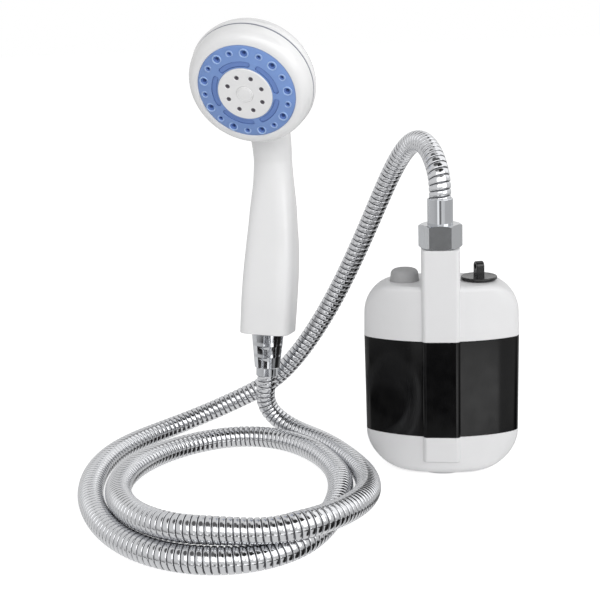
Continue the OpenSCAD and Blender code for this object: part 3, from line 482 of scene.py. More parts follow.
# Black rubber, shiny where it left a polished mould
plug_rubber = surface(
    "moulded_black_rubber", ("#080809", "#0E0E0F", 4), (0.6, 0.006, 0.2, 0.3), {"IOR": 1.52}
)
# Washer rubber, dull and a little dusty
washer_rubber = surface("nitrile_rubber", ("#1B1B1C", "#242425", 3), (0.3, 0.02, 0.6, 0.75), {"IOR": 1.52})
# Bright chrome plate: mirrors the studio, with faint handling marks
chrome = surface("bright_chrome_plate", ("#C6C8CB", "#C1C3C7", 7), (3, 0.001, 0.05, 0.1), {"Metallic": 1})
# Satin chrome plate of the nut: its facets mirror softly, and a little unevenly where they were buffed
satin_chrome = surface("satin_chrome_plate", ("#C3C5C7", "#BEC0C3", 3), (4, 0.05, 0.1, 0.16), {"Metallic": 1})
# Rolled stainless strip of the hose: bright, a little duller than chrome, with painted shade darkening its
# grooves
hose_steel = surface(
    "rolled_stainless_strip", ("#D4D5D7", "#CCCDD0", 5), (2, 0.002, 0.1, 0.16), {"Metallic": 1},
    painted_shade=("groove", "#5A5B5F"),
)
# Glass-filled dark nylon of the inner frame and the strainer
dark_nylon = surface("glass_filled_nylon", ("#3A3D40", "#44474A", 2), (0.4, 0.03, 0.5, 0.62), {"IOR": 1.53})
# Zinc plated steel of the motor can
zinc_steel = surface("zinc_plated_steel", ("#A9ABAF", "#9C9EA3", 4), (0.8, 0.006, 0.28, 0.4), {"Metallic": 1})
# Shrink wrap of the cells
cell_wrap = surface("pvc_shrink_wrap", ("#2F62B3", "#2A59A6", 8), (1.2, 0.006, 0.26, 0.34), {"IOR": 1.53})
# Clear grey tube of the riser
clear_tube = surface(
    "clear_grey_pvc", ("#C9CDD0", "#BFC4C8", 6), (1, 0.004, 0.2, 0.28),
    {"IOR": 1.53, "Transmission Weight": 0.5},
)
# Solder mask on glass-epoxy board
solder_mask = surface("green_solder_mask", ("#1F5A3A", "#174A2F", 1.5), (0.5, 0.01, 0.34, 0.42), {"IOR": 1.5})
# Brass of the impeller
brass = surface("cast_brass", ("#C9A45A", "#B99550", 3), (0.5, 0.012, 0.28, 0.4), {"Metallic": 1})
# Natural white acetal of the parts inside the head and of the spigots
acetal = surface("natural_acetal", ("#DDDDDA", "#D6D6D2", 6), (0.6, 0.008, 0.36, 0.46), {"IOR": 1.48})


# Hose

# Points of the hose's middle, from the pump over the arch, twice round on the ground and up to the handle
ARCH_ROUTE = [
    (0, -14, 170), (0, -14, 177), (0, -14, 184), (0, -13, 195), (-3, -4, 207), (-9, 14, 216), (-17, 34, 216),
    (-26, 50, 205), (-35, 59, 188), (-47, 65, 161), (-62, 69, 128), (-79, 70, 95), (-97, 70, 67),
    (-115, 69, 45), (-133, 67, 32), (-151, 64, 24), (-173, 59, 15), (-198, 46, 8),
]
COIL_ROUTE = [
    (-217, 21, 7), (-228, -9, 7), (-229, -43, 7), (-222, -78, 7), (-208, -109, 7), (-188, -137, 7),
    (-160, -158, 7), (-127, -166, 7), (-96, -158, 7), (-75, -137, 7), (-66, -108, 7), (-62, -78, 7),
    (-64, -46, 7), (-74, -16, 7), (-92, 11, 7), (-118, 30, 7), (-148, 32, 7), (-176, 16, 7), (-196, -11, 8),
    (-205, -44, 10), (-203, -77, 13), (-193, -109, 17), (-174, -139, 21), (-147, -157, 22), (-115, -158, 22),
    (-85, -155, 22), (-62, -138, 22), (-48, -107, 17), (-44, -73, 11), (-48, -42, 8), (-61, -9, 7),
    (-82, 23, 7),
]
RISE_ROUTE = [(-98, 38, 7), (-112, 47, 10), (-125, 51, 19), (-128, 49, 32)]
# Depths of the last points below the handle, on its axis
HANDLE_STEPS = (39, SLEEVE_SEAT + 14, SLEEVE_SEAT + 7, SLEEVE_SEAT)
ROUTE_STEPS = 12


def smooth_line(points, steps):
    """Points on the smooth curve that runs near the route's points and meets both ends."""
    held = [2 * points[0] - points[1], *points, 2 * points[-1] - points[-2]]
    line = []
    for a, b, c, d in zip(held, held[1:], held[2:], held[3:]):
        for t in (k / steps for k in range(steps)):
            near = b * (3 * t ** 3 - 6 * t ** 2 + 4) + c * (-3 * t ** 3 + 3 * t ** 2 + 3 * t + 1)
            line.append((a * (1 - t) ** 3 + near + d * t ** 3) / 6)
    return [*line, points[-1]]


def lengths(line):
    """Length along a line at each of its points."""
    far = [0]
    for a, b in zip(line, line[1:]):
        far.append(far[-1] + (b - a).length)
    return far


def fullness(line):
    """Extra radius of the hose at each point of its line.

    It is fuller towards the front, as in the photograph, as far as its other turns leave room. It has none at
    its ends.
    """
    far = lengths(line)
    extra = []
    for p, at in zip(line, far):
        room = min((p - q).length for q, along in zip(line, far) if abs(along - at) > HOSE_TURN)
        forward = max(0, min(1, (p.y - SWELL_BACK) / (SWELL_FRONT - SWELL_BACK)))
        inward = min(1, min(at, far[-1] - at) / HOSE_END)
        eased = inward * inward * (3 - 2 * inward)
        extra.append(min(HOSE_SWELL * forward, (room - HOSE_D) / 2) * eased)
    return extra


def bent(bm, line, extra):
    """Bends a straight hose along Z to follow a line and widens it, without twisting it."""
    ways = [(b - a).normalized() for a, b in zip(line, line[1:])]
    far = lengths(line)
    across = [Vector((1, 0, 0))]
    ahead = [ways[0]]
    for i in range(1, len(line)):
        ahead.append((ways[i - 1] + ways[min(i, len(ways) - 1)]).normalized())
        across.append((across[-1] - across[-1].dot(ahead[-1]) * ahead[-1]).normalized())
    for v in bm.verts:
        i = max(0, min(bisect_right(far, v.co.z) - 1, len(line) - 2))
        t = (v.co.z - far[i]) / (far[i + 1] - far[i])
        way = ahead[i].lerp(ahead[i + 1], t).normalized()
        side = across[i].lerp(across[i + 1], t)
        wider = 1 + (extra[i] + (extra[i + 1] - extra[i]) * t) / HOSE_D * 2
        side = (side - side.dot(way) * way).normalized() * wider
        v.co = line[i].lerp(line[i + 1], t) + v.co.x * side + v.co.y * way.cross(side)


def wound_strip(length):
    """A straight interlocked hose: a wire of ribs and bore that turns once while it rises by one rib."""
    pitch = length / (HOSE_RIBS + 1)
    crest = HOSE_D / 2
    outside = [(crest - depth, (k + t) * pitch) for k in range(HOSE_RIBS) for t, depth in RIB_PROFILE]
    last = (crest - RIB_DEPTH, HOSE_RIBS * pitch)
    bore = [(HOSE_BORE / 2, k * pitch) for k in range(HOSE_RIBS, -1, -1)]
    bm = bmesh.new()
    # Share of painted groove shade at each corner of the wire: full at the bottom of a groove, none on the
    # crest
    groove = bm.verts.layers.float.new("groove")
    wire = [bm.verts.new((r, 0, z)) for r, z in [*outside, last, *bore]]
    for k, v in enumerate(wire):
        depth = RIB_PROFILE[k % len(RIB_PROFILE)][1] if k < len(outside) else RIB_DEPTH
        v[groove] = (depth / RIB_DEPTH) ** GROOVE_SHADE_POWER
    edges = [bm.edges.new(pair) for pair in zip(wire, [*wire[1:], wire[0]])]
    bmesh.ops.spin(
        bm, geom=wire + edges, cent=(0, 0, 0), axis=(0, 0, 1), dvec=(0, 0, pitch / HOSE_SIDES),
        angle=FULL_TURN, steps=HOSE_SIDES,
    )
    bmesh.ops.remove_doubles(bm, verts=bm.verts, dist=STRIP_MERGE_GAP)
    bmesh.ops.holes_fill(bm, edges=bm.edges, sides=0)
    bmesh.ops.recalc_face_normals(bm, faces=bm.faces)
    return bm


route = [Vector(p) for p in ARCH_ROUTE + COIL_ROUTE + RISE_ROUTE]
route += [handset @ Vector((0, 0, -h)) for h in HANDLE_STEPS]
hose_line = smooth_line(route, ROUTE_STEPS)
hose_extra = fullness(hose_line)
# The fuller hose rests on the ground with its underside, so its middle lies higher
hose_line = [p + Vector((0, 0, e)) for p, e in zip(hose_line, hose_extra)]
hose_length = lengths(hose_line)[-1]
hose_mesh = wound_strip(hose_length)
bent(hose_mesh, hose_line, hose_extra)
hose = piece(
    "metal_hose", hose_mesh, hose_steel, ROOT, ("hose_arch", "hose_coil", "hose_rise"),
    crease=60,
)


# Hose fittings

collar_z = COLUMN_TOP + SPIGOT_L + WASHER_T


def pump_ferrule():
    """Ferrule on the hose's pump end, with the collar that the nut pulls down on its washer."""
    collar_r, seat_r = SPIGOT_D / 2 - COLLAR_FIT, HOSE_D / 2 + SEAT_FIT
    seat, top = COLUMN_TOP + FERRULE_SEAT, COLUMN_TOP + FERRULE_TOP
    bm = turned(
        [
            (HOSE_BORE / 2, collar_z), (collar_r - COLLAR_EDGE_W, collar_z),
            (collar_r, collar_z + COLLAR_EDGE_H), (collar_r, collar_z + COLLAR_T),
            (FERRULE_D / 2, collar_z + COLLAR_T),
            *quarter_round(FERRULE_D / 2, top, FERRULE_EDGE, FERRULE_EDGE, steps=4),
            (seat_r, top - MOUTH_DROP), (seat_r, seat), (HOSE_BORE / 2, seat),
        ],
        closed=True,
    )
    return moved(bm, (0, -OUTLET_Y, 0))


ferrule = piece("pump_end_ferrule", pump_ferrule(), chrome, ROOT, ("pump_ferrule",))


def hose_nut():
    """Hexagon nut with turned chamfers at both ends and its stepped bore."""
    corner = NUT_AF / math.sqrt(3)
    flat = NUT_AF / 2
    hexagon = swung(peg(corner, 0, NUT_H, steps=6), math.pi / 6, "Z")
    lower = [
        (0, -OVERCUT), (flat - NUT_CHAMFER, -OVERCUT), (flat + NUT_RING, 0), (corner + NUT_ROOM, NUT_CHAMFER),
    ]
    upper = [(r, NUT_H - z) for r, z in reversed(lower)]
    lip = collar_z + COLLAR_T - COLUMN_TOP
    bm = boolean("INTERSECT", hexagon, turned(lower + upper))
    bm = boolean(
        "DIFFERENCE", bm,
        peg(SPIGOT_D / 2 + RUN_FIT, -OVERCUT, lip),
        peg(FERRULE_D / 2 + RUN_FIT, lip - OVERCUT, NUT_H + OVERCUT),
    )
    softened(bm, NUT_SOFT, least=NUT_SHARP)
    return moved(bm, (0, -OUTLET_Y, COLUMN_TOP + MOVE_GAP))


piece("hexagon_nut", hose_nut(), satin_chrome, NUT, ("hose_nut",))

inlet_end = INLET_L + MOVE_GAP
sleeve_collar = inlet_end + WASHER_T
sleeve_end = CONE_L + SLEEVE_OUT


def cone_radius(h):
    """Radius of the cone nut at a depth below the handle, with two shallow grip beads."""
    beads = sum(math.exp(-((h - CONE_L * place) / BEAD_W) ** 2) for place in BEAD_PLACES)
    return CONE_TOP / 2 - (CONE_TOP - CONE_LOW) / 2 * h / CONE_L + CONE_BEAD * beads


def cone_nut():
    """Conical nut of the handset, with its stepped bore."""
    inlet, outlet = INLET_D / 2 + RUN_FIT, SLEEVE_D / 2 + RUN_FIT
    lip = sleeve_collar + COLLAR_T + MOVE_GAP
    side = CONE_L - MOVE_GAP - 2 * CONE_EDGE
    depths = [MOVE_GAP + CONE_EDGE + side * i / CONE_ROWS for i in range(CONE_ROWS + 1)]
    bm = turned(
        [
            (inlet, -lip), (inlet, -MOVE_GAP), (CONE_TOP / 2 - CONE_EDGE, -MOVE_GAP),
            *[(cone_radius(h), -h) for h in depths],
            (CONE_LOW / 2 - CONE_LOW_EDGE, -CONE_L), (outlet, -CONE_L), (outlet, -lip),
        ],
        closed=True,
    )
    return placed(bm, handset)


piece("cone_nut_body", cone_nut(), chrome, CONE, ("cone_nut",))


def hose_sleeve():
    """Smooth sleeve on the hose's handset end, with the collar that the cone nut pulls up."""
    collar_r, seat_r = INLET_D / 2 - COLLAR_FIT, HOSE_D / 2 + SEAT_FIT
    collar_low = -sleeve_collar - COLLAR_T
    bm = turned(
        [
            (HOSE_BORE / 2, -sleeve_collar), (collar_r, -sleeve_collar), (collar_r, collar_low),
            (SLEEVE_D / 2, collar_low),
            *quarter_round(SLEEVE_D / 2, -sleeve_end, SLEEVE_EDGE, -SLEEVE_EDGE, steps=4),
            (seat_r, -sleeve_end), (seat_r, -SLEEVE_SEAT), (HOSE_BORE / 2, -SLEEVE_SEAT),
        ],
        closed=True,
    )
    return placed(bm, handset)


sleeve = piece("handset_end_sleeve", hose_sleeve(), chrome, ROOT, ("hose_sleeve",))


# Pump casing

def corner_loss(depth, width, height):
    """Loss of half width at a depth into a rounded end corner."""
    return 0 if depth <= 0 else width - width * math.sqrt(max(0, 1 - (depth / height) ** 2))


def casing_outline(z, inset=0):
    """Plan outline of the casing at a height, lying inset inside its surface."""
    taper = BODY_TAPER / 2 * max(0, min(1, (BAND_HIGH - z) / (BAND_HIGH - BAND_LOW)))
    draft = TOP_DRAFT * max(0, (z - BAND_HIGH) / (BODY_H - BAND_HIGH))
    half_w = (
        BODY_W / 2 - inset - taper - draft
        - corner_loss(z - BODY_H + TOP_R, TOP_R - inset, TOP_R - inset)
        - corner_loss(FOOT_H + BOTTOM_RISE - z, BOTTOM_R - inset, BOTTOM_RISE - inset)
    )
    half_d = (
        BODY_D / 2 - inset
        - corner_loss(z - BODY_H + TOP_EDGE, TOP_EDGE - inset, TOP_EDGE - inset)
        - corner_loss(FOOT_H + BOTTOM_EDGE - z, BOTTOM_EDGE - inset, BOTTOM_EDGE - inset)
    )

    def outline(t):
        t += math.radians(CORNER_CROWD) * math.sin(4 * t)
        n = (abs(math.cos(t)) ** PLAN_POWER + abs(math.sin(t)) ** PLAN_POWER) ** (1 / PLAN_POWER)
        x = math.cos(t) / n * (half_w - SIDE_BOW * (math.sin(t) / n) ** 2)
        return Vector((x, math.sin(t) / n * (half_d - BULGE * (2 * x / BODY_W) ** 2), z))
    return outline


def rising(low, high, steps):
    """Heights that crowd towards the upper end, where the casing is rounded."""
    return [low + (high - low) * math.sin(t) for t in arc(steps)]


def falling(low, high, steps):
    """Heights that crowd towards the lower end, where the casing is rounded."""
    return [high - (high - low) * math.cos(t) for t in arc(steps)]


def column(low, high, rim):
    """Front rib of the casing, which becomes the outlet column above the top face."""
    return block((COLUMN_W, COLUMN_D, high - low), (0, -OUTLET_Y, (low + high) / 2), COLUMN_R, rim)


def upper_casing():
    """White upper shell with the outlet column and the holes for the button, the plug and the riser."""
    edge = [casing_outline(BAND_HIGH, SEAM_CHAMFER), casing_outline(BAND_HIGH + SEAM_CHAMFER)]
    rows = rising(BAND_HIGH + SEAM_ROW, BODY_H, OUTER_ROWS)
    outer = lofted(edge + [casing_outline(z) for z in rows], CORNERS)
    rows = rising(BAND_HIGH - OVERCUT, BODY_H - WALL, INNER_ROWS)
    inner = lofted([casing_outline(z, WALL) for z in rows], CORNERS)
    bm = boolean("UNION", outer, column(BAND_HIGH, COLUMN_TOP, COLUMN_EDGE))
    low, high = BODY_H - ROOF_BORE, BODY_H + ROOF_BORE
    outlet, past = (0, -OUTLET_Y), COLUMN_TOP + OVERCUT
    return boolean(
        "DIFFERENCE", bm, inner,
        peg(BUTTON_D / 2 + MOVE_GAP, low, high, (-BUTTON_X, 0)),
        peg(PLUG_SHANK / 2 + MOVE_GAP, low, high, (PORT_X, 0)),
        peg(RISER_D / 2 + SEAT_FIT, BODY_H - TOP_EDGE - WALL, past, outlet),
        peg(SPIGOT_D / 2 - SPIGOT_STEP + SEAT_FIT, COLUMN_TOP - SPIGOT_ROOT, past, outlet),
    )


def band():
    """Black band between the white shells, with the rib carried through it."""
    heights = (BAND_LOW, BAND_LOW + SEAM_CHAMFER, BAND_HIGH - SEAM_CHAMFER, BAND_HIGH)
    insets = (SEAM_CHAMFER, 0, 0, SEAM_CHAMFER)
    outer = lofted([casing_outline(z, w) for z, w in zip(heights, insets)], CORNERS)
    inner = lofted([casing_outline(z, WALL) for z in (BAND_LOW - OVERCUT, BAND_HIGH + OVERCUT)], CORNERS)
    bm = boolean("UNION", outer, column(BAND_LOW, BAND_HIGH, SEAM_CHAMFER))
    return boolean("DIFFERENCE", bm, inner)


def lower_casing():
    """White lower shell with the end of the rib, the foot ring and the intake in it."""
    edge = [casing_outline(BAND_LOW - SEAM_CHAMFER), casing_outline(BAND_LOW, SEAM_CHAMFER)]
    rows = falling(FOOT_H, BAND_LOW - SEAM_ROW, OUTER_ROWS)
    outer = lofted([casing_outline(z) for z in rows] + edge, CORNERS)
    floor_top = FOOT_H + WALL
    rows = falling(floor_top, BAND_LOW + OVERCUT, INNER_ROWS)
    inner = lofted([casing_outline(z, WALL + LEDGE) for z in rows], CORNERS)
    foot_r, foot_top = FOOT_D / 2, FOOT_H + FOOT_EDGE
    foot = turned([(0, 0), (foot_r - FOOT_EDGE, 0), (foot_r, FOOT_EDGE), (foot_r, foot_top), (0, foot_top)])
    intake = foot_r - FOOT_RIM
    gap = (FOOT_GAP, FOOT_RIM + 4 * OVERCUT, FOOT_H + OVERCUT)
    bm = boolean("UNION", outer, column(RIB_LOW, BAND_LOW, RIB_EDGE), foot)
    return boolean(
        "DIFFERENCE", bm, inner,
        peg(intake, -OVERCUT, floor_top + 2 * OVERCUT),
        block(gap, (0, intake + FOOT_RIM / 2, (FOOT_H - OVERCUT) / 2)),
    )


piece("upper_casing", upper_casing(), white_abs, ROOT, ("upper_shell",))
piece("dark_band", band(), black_abs, ROOT, ("band_sleeve",))
piece("lower_casing", lower_casing(), white_abs, ROOT, ("bottom_shell",))


# Button and port plug

def push_button():
    """Domed button with its stem and the lip that holds it under the roof."""
    r, lip_r = BUTTON_D / 2, BUTTON_D / 2 + BUTTON_LIP
    lip = BODY_H - WALL - MOVE_GAP
    lip_low, stem = lip - BUTTON_LIP_T, lip - BUTTON_STEM_L
    dome_h = BUTTON_RISE / 2
    dome = [
        ((r - BUTTON_EDGE) * math.cos(t) ** DOME_FULL, BODY_H + dome_h + dome_h * math.sin(t) ** DOME_SLOPE)
        for t in arc(DOME_STEPS)
    ]
    bm = turned(
        [(0, stem), (BUTTON_STEM_R, stem), (BUTTON_STEM_R, lip_low), (lip_r, lip_low), (lip_r, lip), (r, lip),
         (r, BODY_H + BUTTON_SIDE), *dome]
    )
    return moved(bm, (-BUTTON_X, 0, 0))


def pull_tab():
    """Upright tab of the plug, round at its upper end, with a hole through it."""
    top = PLUG_T + TAB_H
    height = TAB_H + TAB_ROOT
    tab = block((TAB_W, TAB_T, height), (0, 0, top - height / 2))
    upper = [e for e in tab.edges if all(v.co.z > top - TAB_SOFT for v in e.verts)]
    ends = [e for e in upper if abs(e.verts[0].co.y - e.verts[1].co.y) > TAB_T / 2]
    rounded(tab, ends, TAB_W / 2 - TAB_FLAT, steps=12)
    hole = swung(peg(TAB_HOLE_R, -TAB_T, TAB_T, steps=40), math.pi / 2, "X")
    moved(hole, (0, 0, top - TAB_W / 2))
    tab = softened(boolean("DIFFERENCE", tab, hole), TAB_SOFT, steps=3, least=TAB_SHARP)
    return swung(tab, math.radians(-TAB_TURN), "Z")


def port_plug():
    """Rubber plug with its shank, its rimmed disc and its pull tab."""
    r, shank = PLUG_D / 2, PLUG_SHANK / 2
    dish = PLUG_T - PLUG_DISH
    bm = turned(
        [(0, -PLUG_L), (shank - PLUG_EDGE, -PLUG_L), (shank, PLUG_EDGE - PLUG_L), (shank, 0),
         (r - PLUG_EDGE, 0), (r, PLUG_EDGE), *quarter_round(r, PLUG_T, RIM_W, RIM_H),
         (r - PLUG_RIM, dish), (0, dish)]
    )
    return moved(boolean("UNION", bm, pull_tab()), (PORT_X, 0, BODY_H + MOVE_GAP))


piece("push_button", push_button(), button_tpe, BUTTON, ("power_button",))
piece("rubber_port_plug", port_plug(), plug_rubber, PLUG, ("port_plug",))


# Handset

half_w, half_d = HANDLE_W / 2, HANDLE_D / 2
# Stations of the handle, from its foot up: height, setback, lean in degrees, half width, half depth, power
handle_stations = [
    (0, 0, 0, half_w - 0.1, half_d, HANDLE_POWER),
    (HANDLE_L * 0.1, HANDLE_BOW * 0.2, 0, half_w + 0.1, half_d + 0.2, HANDLE_POWER),
    (HANDLE_L * 0.2, HANDLE_BOW * 0.38, 0, half_w + 0.2, half_d + 0.4, HANDLE_POWER),
    (HANDLE_L * 0.35, HANDLE_BOW * 0.72, 0, half_w, half_d + 0.4, HANDLE_POWER),
    (HANDLE_L * 0.5, HANDLE_BOW, 0, half_w - 0.9, half_d, HANDLE_POWER),
    (HANDLE_L * 0.63, HANDLE_BOW * 1.04, 0, half_w - 2.1, half_d - 0.6, 4.2),
    (HANDLE_L * 0.76, HANDLE_BOW * 1.04, 1, NECK_W / 2 + 1.9, NECK_D / 2 + 1.2, 3.6),
    (HANDLE_L * 0.88, HANDLE_BOW * 0.92, 4, NECK_W / 2 + 0.7, NECK_D / 2 + 0.4, 2.8),
]
tilt = math.radians(FACE_TILT)
neck_reach = BEZEL_H + BOWL_H * END_DEPTH
neck_start = Vector((HANDLE_BOW * START_BACK, HANDLE_L))
neck_end = Vector((-FACE_FWD + neck_reach * math.cos(tilt), FACE_UP + neck_reach * math.sin(tilt)))
neck_bend = Vector((HANDLE_BOW * BEND_BACK, HANDLE_L + (neck_end.y - HANDLE_L) * BEND_UP))


def neck_station(t):
    """Station of the neck, from the end of the handle at 0 to the back of the head at 1."""
    at = (1 - t) ** 2 * neck_start + 2 * t * (1 - t) * neck_bend + t * t * neck_end
    way = (1 - t) * (neck_bend - neck_start) + t * (neck_end - neck_bend)
    lean = math.degrees(math.atan2(-way.x, way.y))
    return at.y, at.x, lean, NECK_W / 2 + NECK_FLARE * t * t, NECK_D / 2 + NECK_SWELL * t, NECK_POWER


def heel_station(t):
    """The neck past its end, where it sinks into the back of the head in a quarter round."""
    up, back, lean, wide, deep, power = neck_station(1)
    way = (neck_end - neck_bend).normalized() * NECK_HEEL * math.sin(t)
    narrower = HEEL_SHARE + (1 - HEEL_SHARE) * math.cos(t)
    return up + way.y, back + way.x, lean, wide * narrower, deep * math.cos(t), power


def between(stations, steps):
    """Stations with smooth steps between them."""
    rows = [stations[0], *stations, stations[-1]]
    filled = []
    for a, b, c, d in zip(rows, rows[1:], rows[2:], rows[3:]):
        for t in (k / steps for k in range(steps)):
            filled.append([
                (
                    2 * q + (r - p) * t
                    + (2 * p - 5 * q + 4 * r - s) * t ** 2
                    + (3 * q - p - 3 * r + s) * t ** 3
                ) / 2
                for p, q, r, s in zip(a, b, c, d)
            ])
    return [*filled, list(stations[-1])]


def handle_outline(station):
    """Outline across the handle or the neck at a station: a round that is squarer for a higher power."""
    z, back, lean, wide, deep, power = station
    lean = math.radians(lean)

    def outline(t):
        x = wide * math.copysign(abs(math.cos(t)) ** (2 / power), math.cos(t))
        y = deep * math.copysign(abs(math.sin(t)) ** (2 / power), math.sin(t))
        return Vector((x, back + y * math.cos(lean), z + y * math.sin(lean)))
    return outline


def bowl(inset, up):
    """Back of the head as a solid, lying inset inside its surface and reaching up past the seam."""
    r = HEAD_D / 2 - inset
    top = BOWL_Z - BOWL_SIDE
    depth = BOWL_H - BOWL_SIDE - inset
    back = [
        ((r + BOWL_SWELL) * math.cos(t) ** BOWL_FULL, top - depth * math.sin(t) ** BOWL_DEEP)
        for t in arc(BOWL_STEPS)
    ]
    bm = turned([(0, BOWL_Z + up), (r, BOWL_Z + up), *back])
    return placed(bm, spray_face)


def handset_body():
    """Hollow moulding of the handle, the neck and the back of the head."""
    neck = [neck_station(k / NECK_ROWS) for k in range(NECK_ROWS + 1)]
    heel = [heel_station(t) for t in arc(NECK_ROWS, *HEEL_ARC)]
    stations = between(handle_stations + neck + heel, STATION_STEPS)
    z, back, lean, wide, deep, power = handle_stations[0]
    foot = [
        [z, back, lean, wide - HANDLE_EDGE, deep - HANDLE_EDGE, power],
        [z + HANDLE_EDGE, back, lean, wide, deep, power],
    ]
    handle = placed(lofted([handle_outline(s) for s in foot + stations[1:]], HANDLE_CORNERS), handset)
    bore_lean = Matrix.Rotation(math.radians(BORE_LEAN), 4, "X")
    bore = placed(peg(HANDLE_BORE / 2, -OVERCUT, HANDLE_L - OVERCUT), handset @ bore_lean)
    socket = placed(peg(INLET_D / 2 - SPIGOT_STEP + SEAT_FIT, -OVERCUT, SPIGOT_ROOT), handset)
    front = placed(peg(FRONT_CUT_R, BOWL_Z, BOWL_Z + FRONT_CUT_H), spray_face)
    duct_low = Matrix.Translation((0, neck_start.x + DUCT_BACK, neck_start.y - DUCT_DROP))
    duct_lean = Matrix.Rotation(math.radians(DUCT_LEAN), 4, "X")
    duct = placed(peg(HANDLE_BORE / 2, 0, DUCT_L), handset @ duct_low @ duct_lean)
    bm = boolean("UNION", handle, bowl(0, 0))
    return boolean("DIFFERENCE", bm, front, bowl(HEAD_WALL, OVERCUT), bore, socket, duct)


def bezel():
    """Turning front ring of the head, rounded from the seam to the blue ring."""
    r = SPRAY_D / 2
    lip, wide = r + BEZEL_LIP, HEAD_D / 2 - BEZEL_STEP
    low = BOWL_Z + SEAM_T + MOVE_GAP
    shoulder = BEZEL_SIDE - BEZEL_H
    rise = BEZEL_CREST - shoulder
    outside = [
        (lip + (wide - lip) * math.cos(t) ** BEZEL_FULL, shoulder + rise * math.sin(t) ** BEZEL_ROUND)
        for t in arc(BEZEL_STEPS, *BEZEL_ARC)
    ]
    inner = HEAD_D / 2 - HEAD_WALL
    seat, back = -RING_T, -RING_T - BEZEL_LEDGE
    bm = turned(
        [(inner, low), (wide - BEZEL_EDGE, low), (wide, low + BEZEL_EDGE), *outside,
         (r + BEZEL_MOUTH_W, BEZEL_MOUTH_H), (r + SEAT_FIT, 0), (r + SEAT_FIT, seat),
         (r - BEZEL_LEDGE, seat), (r - BEZEL_LEDGE, back), (inner - BEZEL_LEDGE, back),
         (inner, back - BEZEL_LEDGE)],
        closed=True, steps=FACE_STEPS,
    )
    return placed(bm, spray_face)


ring_r0, ring_r1 = DISC_D / 2 + SEAT_FIT, SPRAY_D / 2
nozzle_r = ring_r0 + (ring_r1 - ring_r0) * NOZZLE_PLACE
slot_r0 = ring_r0 + SLOT_BACK
slot_r1 = slot_r0 + SLOT_W


def crown(r):
    """Height of the blue ring's crowned face at a radius."""
    k = (SPRAY_D / 2 - r) / (SPRAY_D / 2 - DISC_D / 2)
    return (DISC_FWD - CROWN_DROP) * (1 - (1 - k) ** CROWN_POWER)


def nozzle_places():
    """Angle and size of each nozzle: nine large ones, with a small one after each."""
    for i in range(2 * NOZZLES):
        yield math.radians(NOZZLE_TURN + 180 * i / NOZZLES), (1 if i % 2 == 0 else SMALL_NOZZLE)


def arc_bar(outline, inset):
    """A curved bar in each arc slot beside the centre disc, shorter at both ends by an inset in degrees."""
    bars = []
    for i in range(ARC_SLOTS):
        bar = turned(outline, closed=True, steps=12, sweep=math.radians(ARC_SPAN - 2 * inset))
        ends = [
            e for e in bar.edges
            if (e.verts[0].co - e.verts[1].co).to_2d().length < UPRIGHT and e.calc_face_angle() > SHARP
        ]
        rounded(bar, ends, ARC_END_R - inset * ARC_DEGREE, steps=6)
        bars.append(swung(bar, math.radians(360 / ARC_SLOTS * i + ARC_TURN + inset), "Z"))
    return together(*bars)


def spray_ring():
    """Blue ring with its crowned face, the nozzles' holes and the arc slots."""
    outer = ring_r1 - RING_EDGE
    radii = [outer + (ring_r0 - outer) * i / CROWN_ROWS for i in range(CROWN_ROWS + 1)]
    hub, plate = CAP_D / 2 + RING_HUB, DISC_FWD - DISC_T
    bm = turned(
        [(hub, -RING_T), (ring_r1 - RING_BACK, -RING_T), (ring_r1, RING_BACK - RING_T), (ring_r1, -RING_SIDE),
         *[(r, crown(r)) for r in radii], (ring_r0, plate), (hub, plate)],
        closed=True, steps=RING_STEPS,
    )
    holes = []
    for turn, size in nozzle_places():
        at = (nozzle_r * math.cos(turn), nozzle_r * math.sin(turn))
        holes.append(peg(NOZZLE_D / 2 * size - NOZZLE_SEAT, -RING_CUT, 2 * RING_CUT, at, NOZZLE_STEPS))
    low, high = crown(slot_r1) - SLOT_DEPTH, DISC_FWD + RING_CUT
    slots = arc_bar([(slot_r0, low), (slot_r1, low), (slot_r1, high), (slot_r0, high)], 0)
    bm = softened(boolean("DIFFERENCE", bm, together(*holes), slots), RING_SOFT, least=RING_SHARP)
    return placed(bm, spray_face)


def arc_pads():
    """Mist pads in the arc slots, a little lower than the ring."""
    inner, outer = slot_r0 + PAD_GAP, slot_r1 - PAD_GAP
    low = crown(slot_r1) - SLOT_DEPTH
    bm = arc_bar(
        [(inner, low), (outer, low), (outer, crown(outer) - PAD_LOWER), (inner, crown(inner) - PAD_LOWER)],
        PAD_INSET,
    )
    softened(bm, PAD_SOFT, steps=3)
    return placed(bm, spray_face)


def nozzle_rings(outline, large=True, small=True):
    """One turned ring for each nozzle of the named sizes, from an outline for a radius and a size."""
    rings = []
    for turn, size in nozzle_places():
        if not (large if size == 1 else small):
            continue
        ring = turned(outline(NOZZLE_D / 2 * size, size), closed=True, steps=NOZZLE_STEPS)
        rings.append(moved(ring, (nozzle_r * math.cos(turn), nozzle_r * math.sin(turn), crown(nozzle_r))))
    bm = together(*rings)
    return placed(bm, spray_face)


def lip_outline(r, size):
    """Raised lip of a nozzle, which sits in the ring's hole. A small nozzle's lip is wider for its size.

    Plain numbers are shares of the nozzle's radius and of the lip's height.
    """
    top = LIP_H * size
    wide = r + (LIP_OVER if size == 1 else SMALL_LIP_OVER)
    seat = r - LIP_SEAT
    return [
        (DISH_R * r, -LIP_ROOT), (seat, -LIP_ROOT), (seat, -LIP_UNDER), (wide, -LIP_UNDER), (wide, 0.5 * top),
        (wide - LIP_EDGE, 0.86 * top), (0.92 * r, top), (0.82 * r, 0.9 * top), (0.75 * r, 0.4 * top),
    ]


